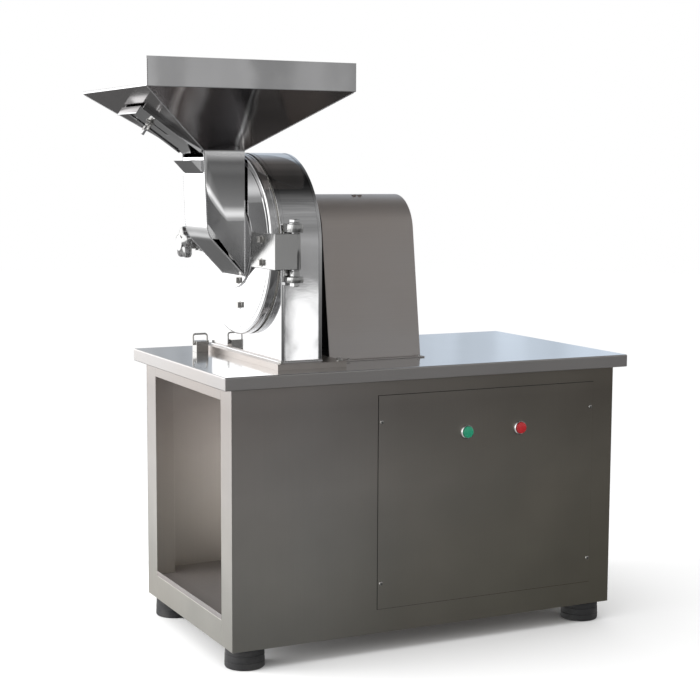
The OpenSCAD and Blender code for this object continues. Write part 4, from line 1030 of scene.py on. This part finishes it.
# A dark arch between two bright walls, meant for the chute's near side, where it hardly shows
arch_x = sh.math("ABSOLUTE", sh.math("SUBTRACT", sector, 0.655))
arch_z = sh.math("MULTIPLY", sh.math("SUBTRACT", height, 0.478), 2.2)
arch = sh.math("SQRT", sh.math("ADD", sh.math("MULTIPLY", arch_x, arch_x), sh.math("MULTIPLY", arch_z, arch_z)))
arch_tone = sh.ramp(sh.math("MULTIPLY", arch, 8.0), [(0.0, 0.10), (0.12, 0.16), (0.17, 1.3), (0.24, 0.9), (0.34, 0.5)])
arch_mask = sh.math("MULTIPLY", sh.ramp(arch_x, [(0.036, 1.0), (0.044, 0.0)]),
                    sh.ramp(height, [(0.452, 0.0), (0.462, 1.0), (0.490, 1.0), (0.500, 0.0)]))
whole = sh.mix(arch_mask, whole, arch_tone)
# The wall beside the door end is bright at eye height and greyer toward the ground
side_low = sh.ramp(height, [(0.33, 0.42), (0.38, 0.55), (0.415, 0.80), (0.43, 1.05), (0.44, 1.6), (0.46, 2.1)])
side_mask = sh.math("MULTIPLY", sh.ramp(turn, [(0.17, 0.0), (0.22, 1.0), (0.46, 1.0), (0.482, 0.0)]),
                    sh.ramp(height, [(0.46, 1.0), (0.48, 0.0)]))
whole = sh.mix(side_mask, whole, side_low)
# A bright doorway, seen in the lower side of the polished housing
door_across = sh.ramp(sector, [(0.485, 0.0), (0.495, 1.0), (0.548, 1.0), (0.558, 0.0)])
door_up = sh.ramp(height, [(0.425, 0.0), (0.430, 1.0), (0.4600, 1.0), (0.4622, 0.0)])
whole = sh.mix(sh.math("MULTIPLY", door_across, door_up), whole, (1.7, 1.7, 1.7))
# The camera sees plain white, and diffuse surfaces a soft white
kind = sh.add("LightPath").outputs
room = sh.add("Background", Color=whole, Strength=1.0).outputs[0]
soft = sh.add("Background", Color=(1, 1, 1, 1), Strength=0.9).outputs[0]
plain = sh.add("Background", Color=(1, 1, 1, 1), Strength=1.0).outputs[0]
both = sh.add("MixShader", Fac=kind["Is Diffuse Ray"], i1=room, i2=soft).outputs[0]
both = sh.add("MixShader", Fac=kind["Is Camera Ray"], i1=both, i2=plain).outputs[0]
sh.add("OutputWorld", Surface=both)


def area_light(name, at, target, size, power, colour=(1, 1, 1)):
    data = bpy.data.lights.new(name, "AREA")
    data.shape = "RECTANGLE"
    data.size, data.size_y = size
    data.energy = power
    data.color = colour
    lamp = bpy.data.objects.new(name, data)
    bpy.context.scene.collection.objects.link(lamp)
    lamp.location = at
    lamp.visible_glossy = False
    lamp.rotation_euler = (Vector(target) - Vector(at)).to_track_quat("-Z", "Y").to_euler()
    return lamp


area_light("soft_left", (-3.4, 0.6, 1.9), (0, 0, 0.6), (2.6, 2.2), 60)
area_light("bay_fill", (-1.9, 0.55, 0.40), (-0.1, 0, 0.40), (1.0, 0.5), 34)
area_light("soft_top", (0.2, -0.6, 3.4), (0, 0, 0.4), (2.6, 2.6), 40)

scene = bpy.context.scene
scene.view_settings.view_transform = "Standard"
scene.view_settings.look = "None"
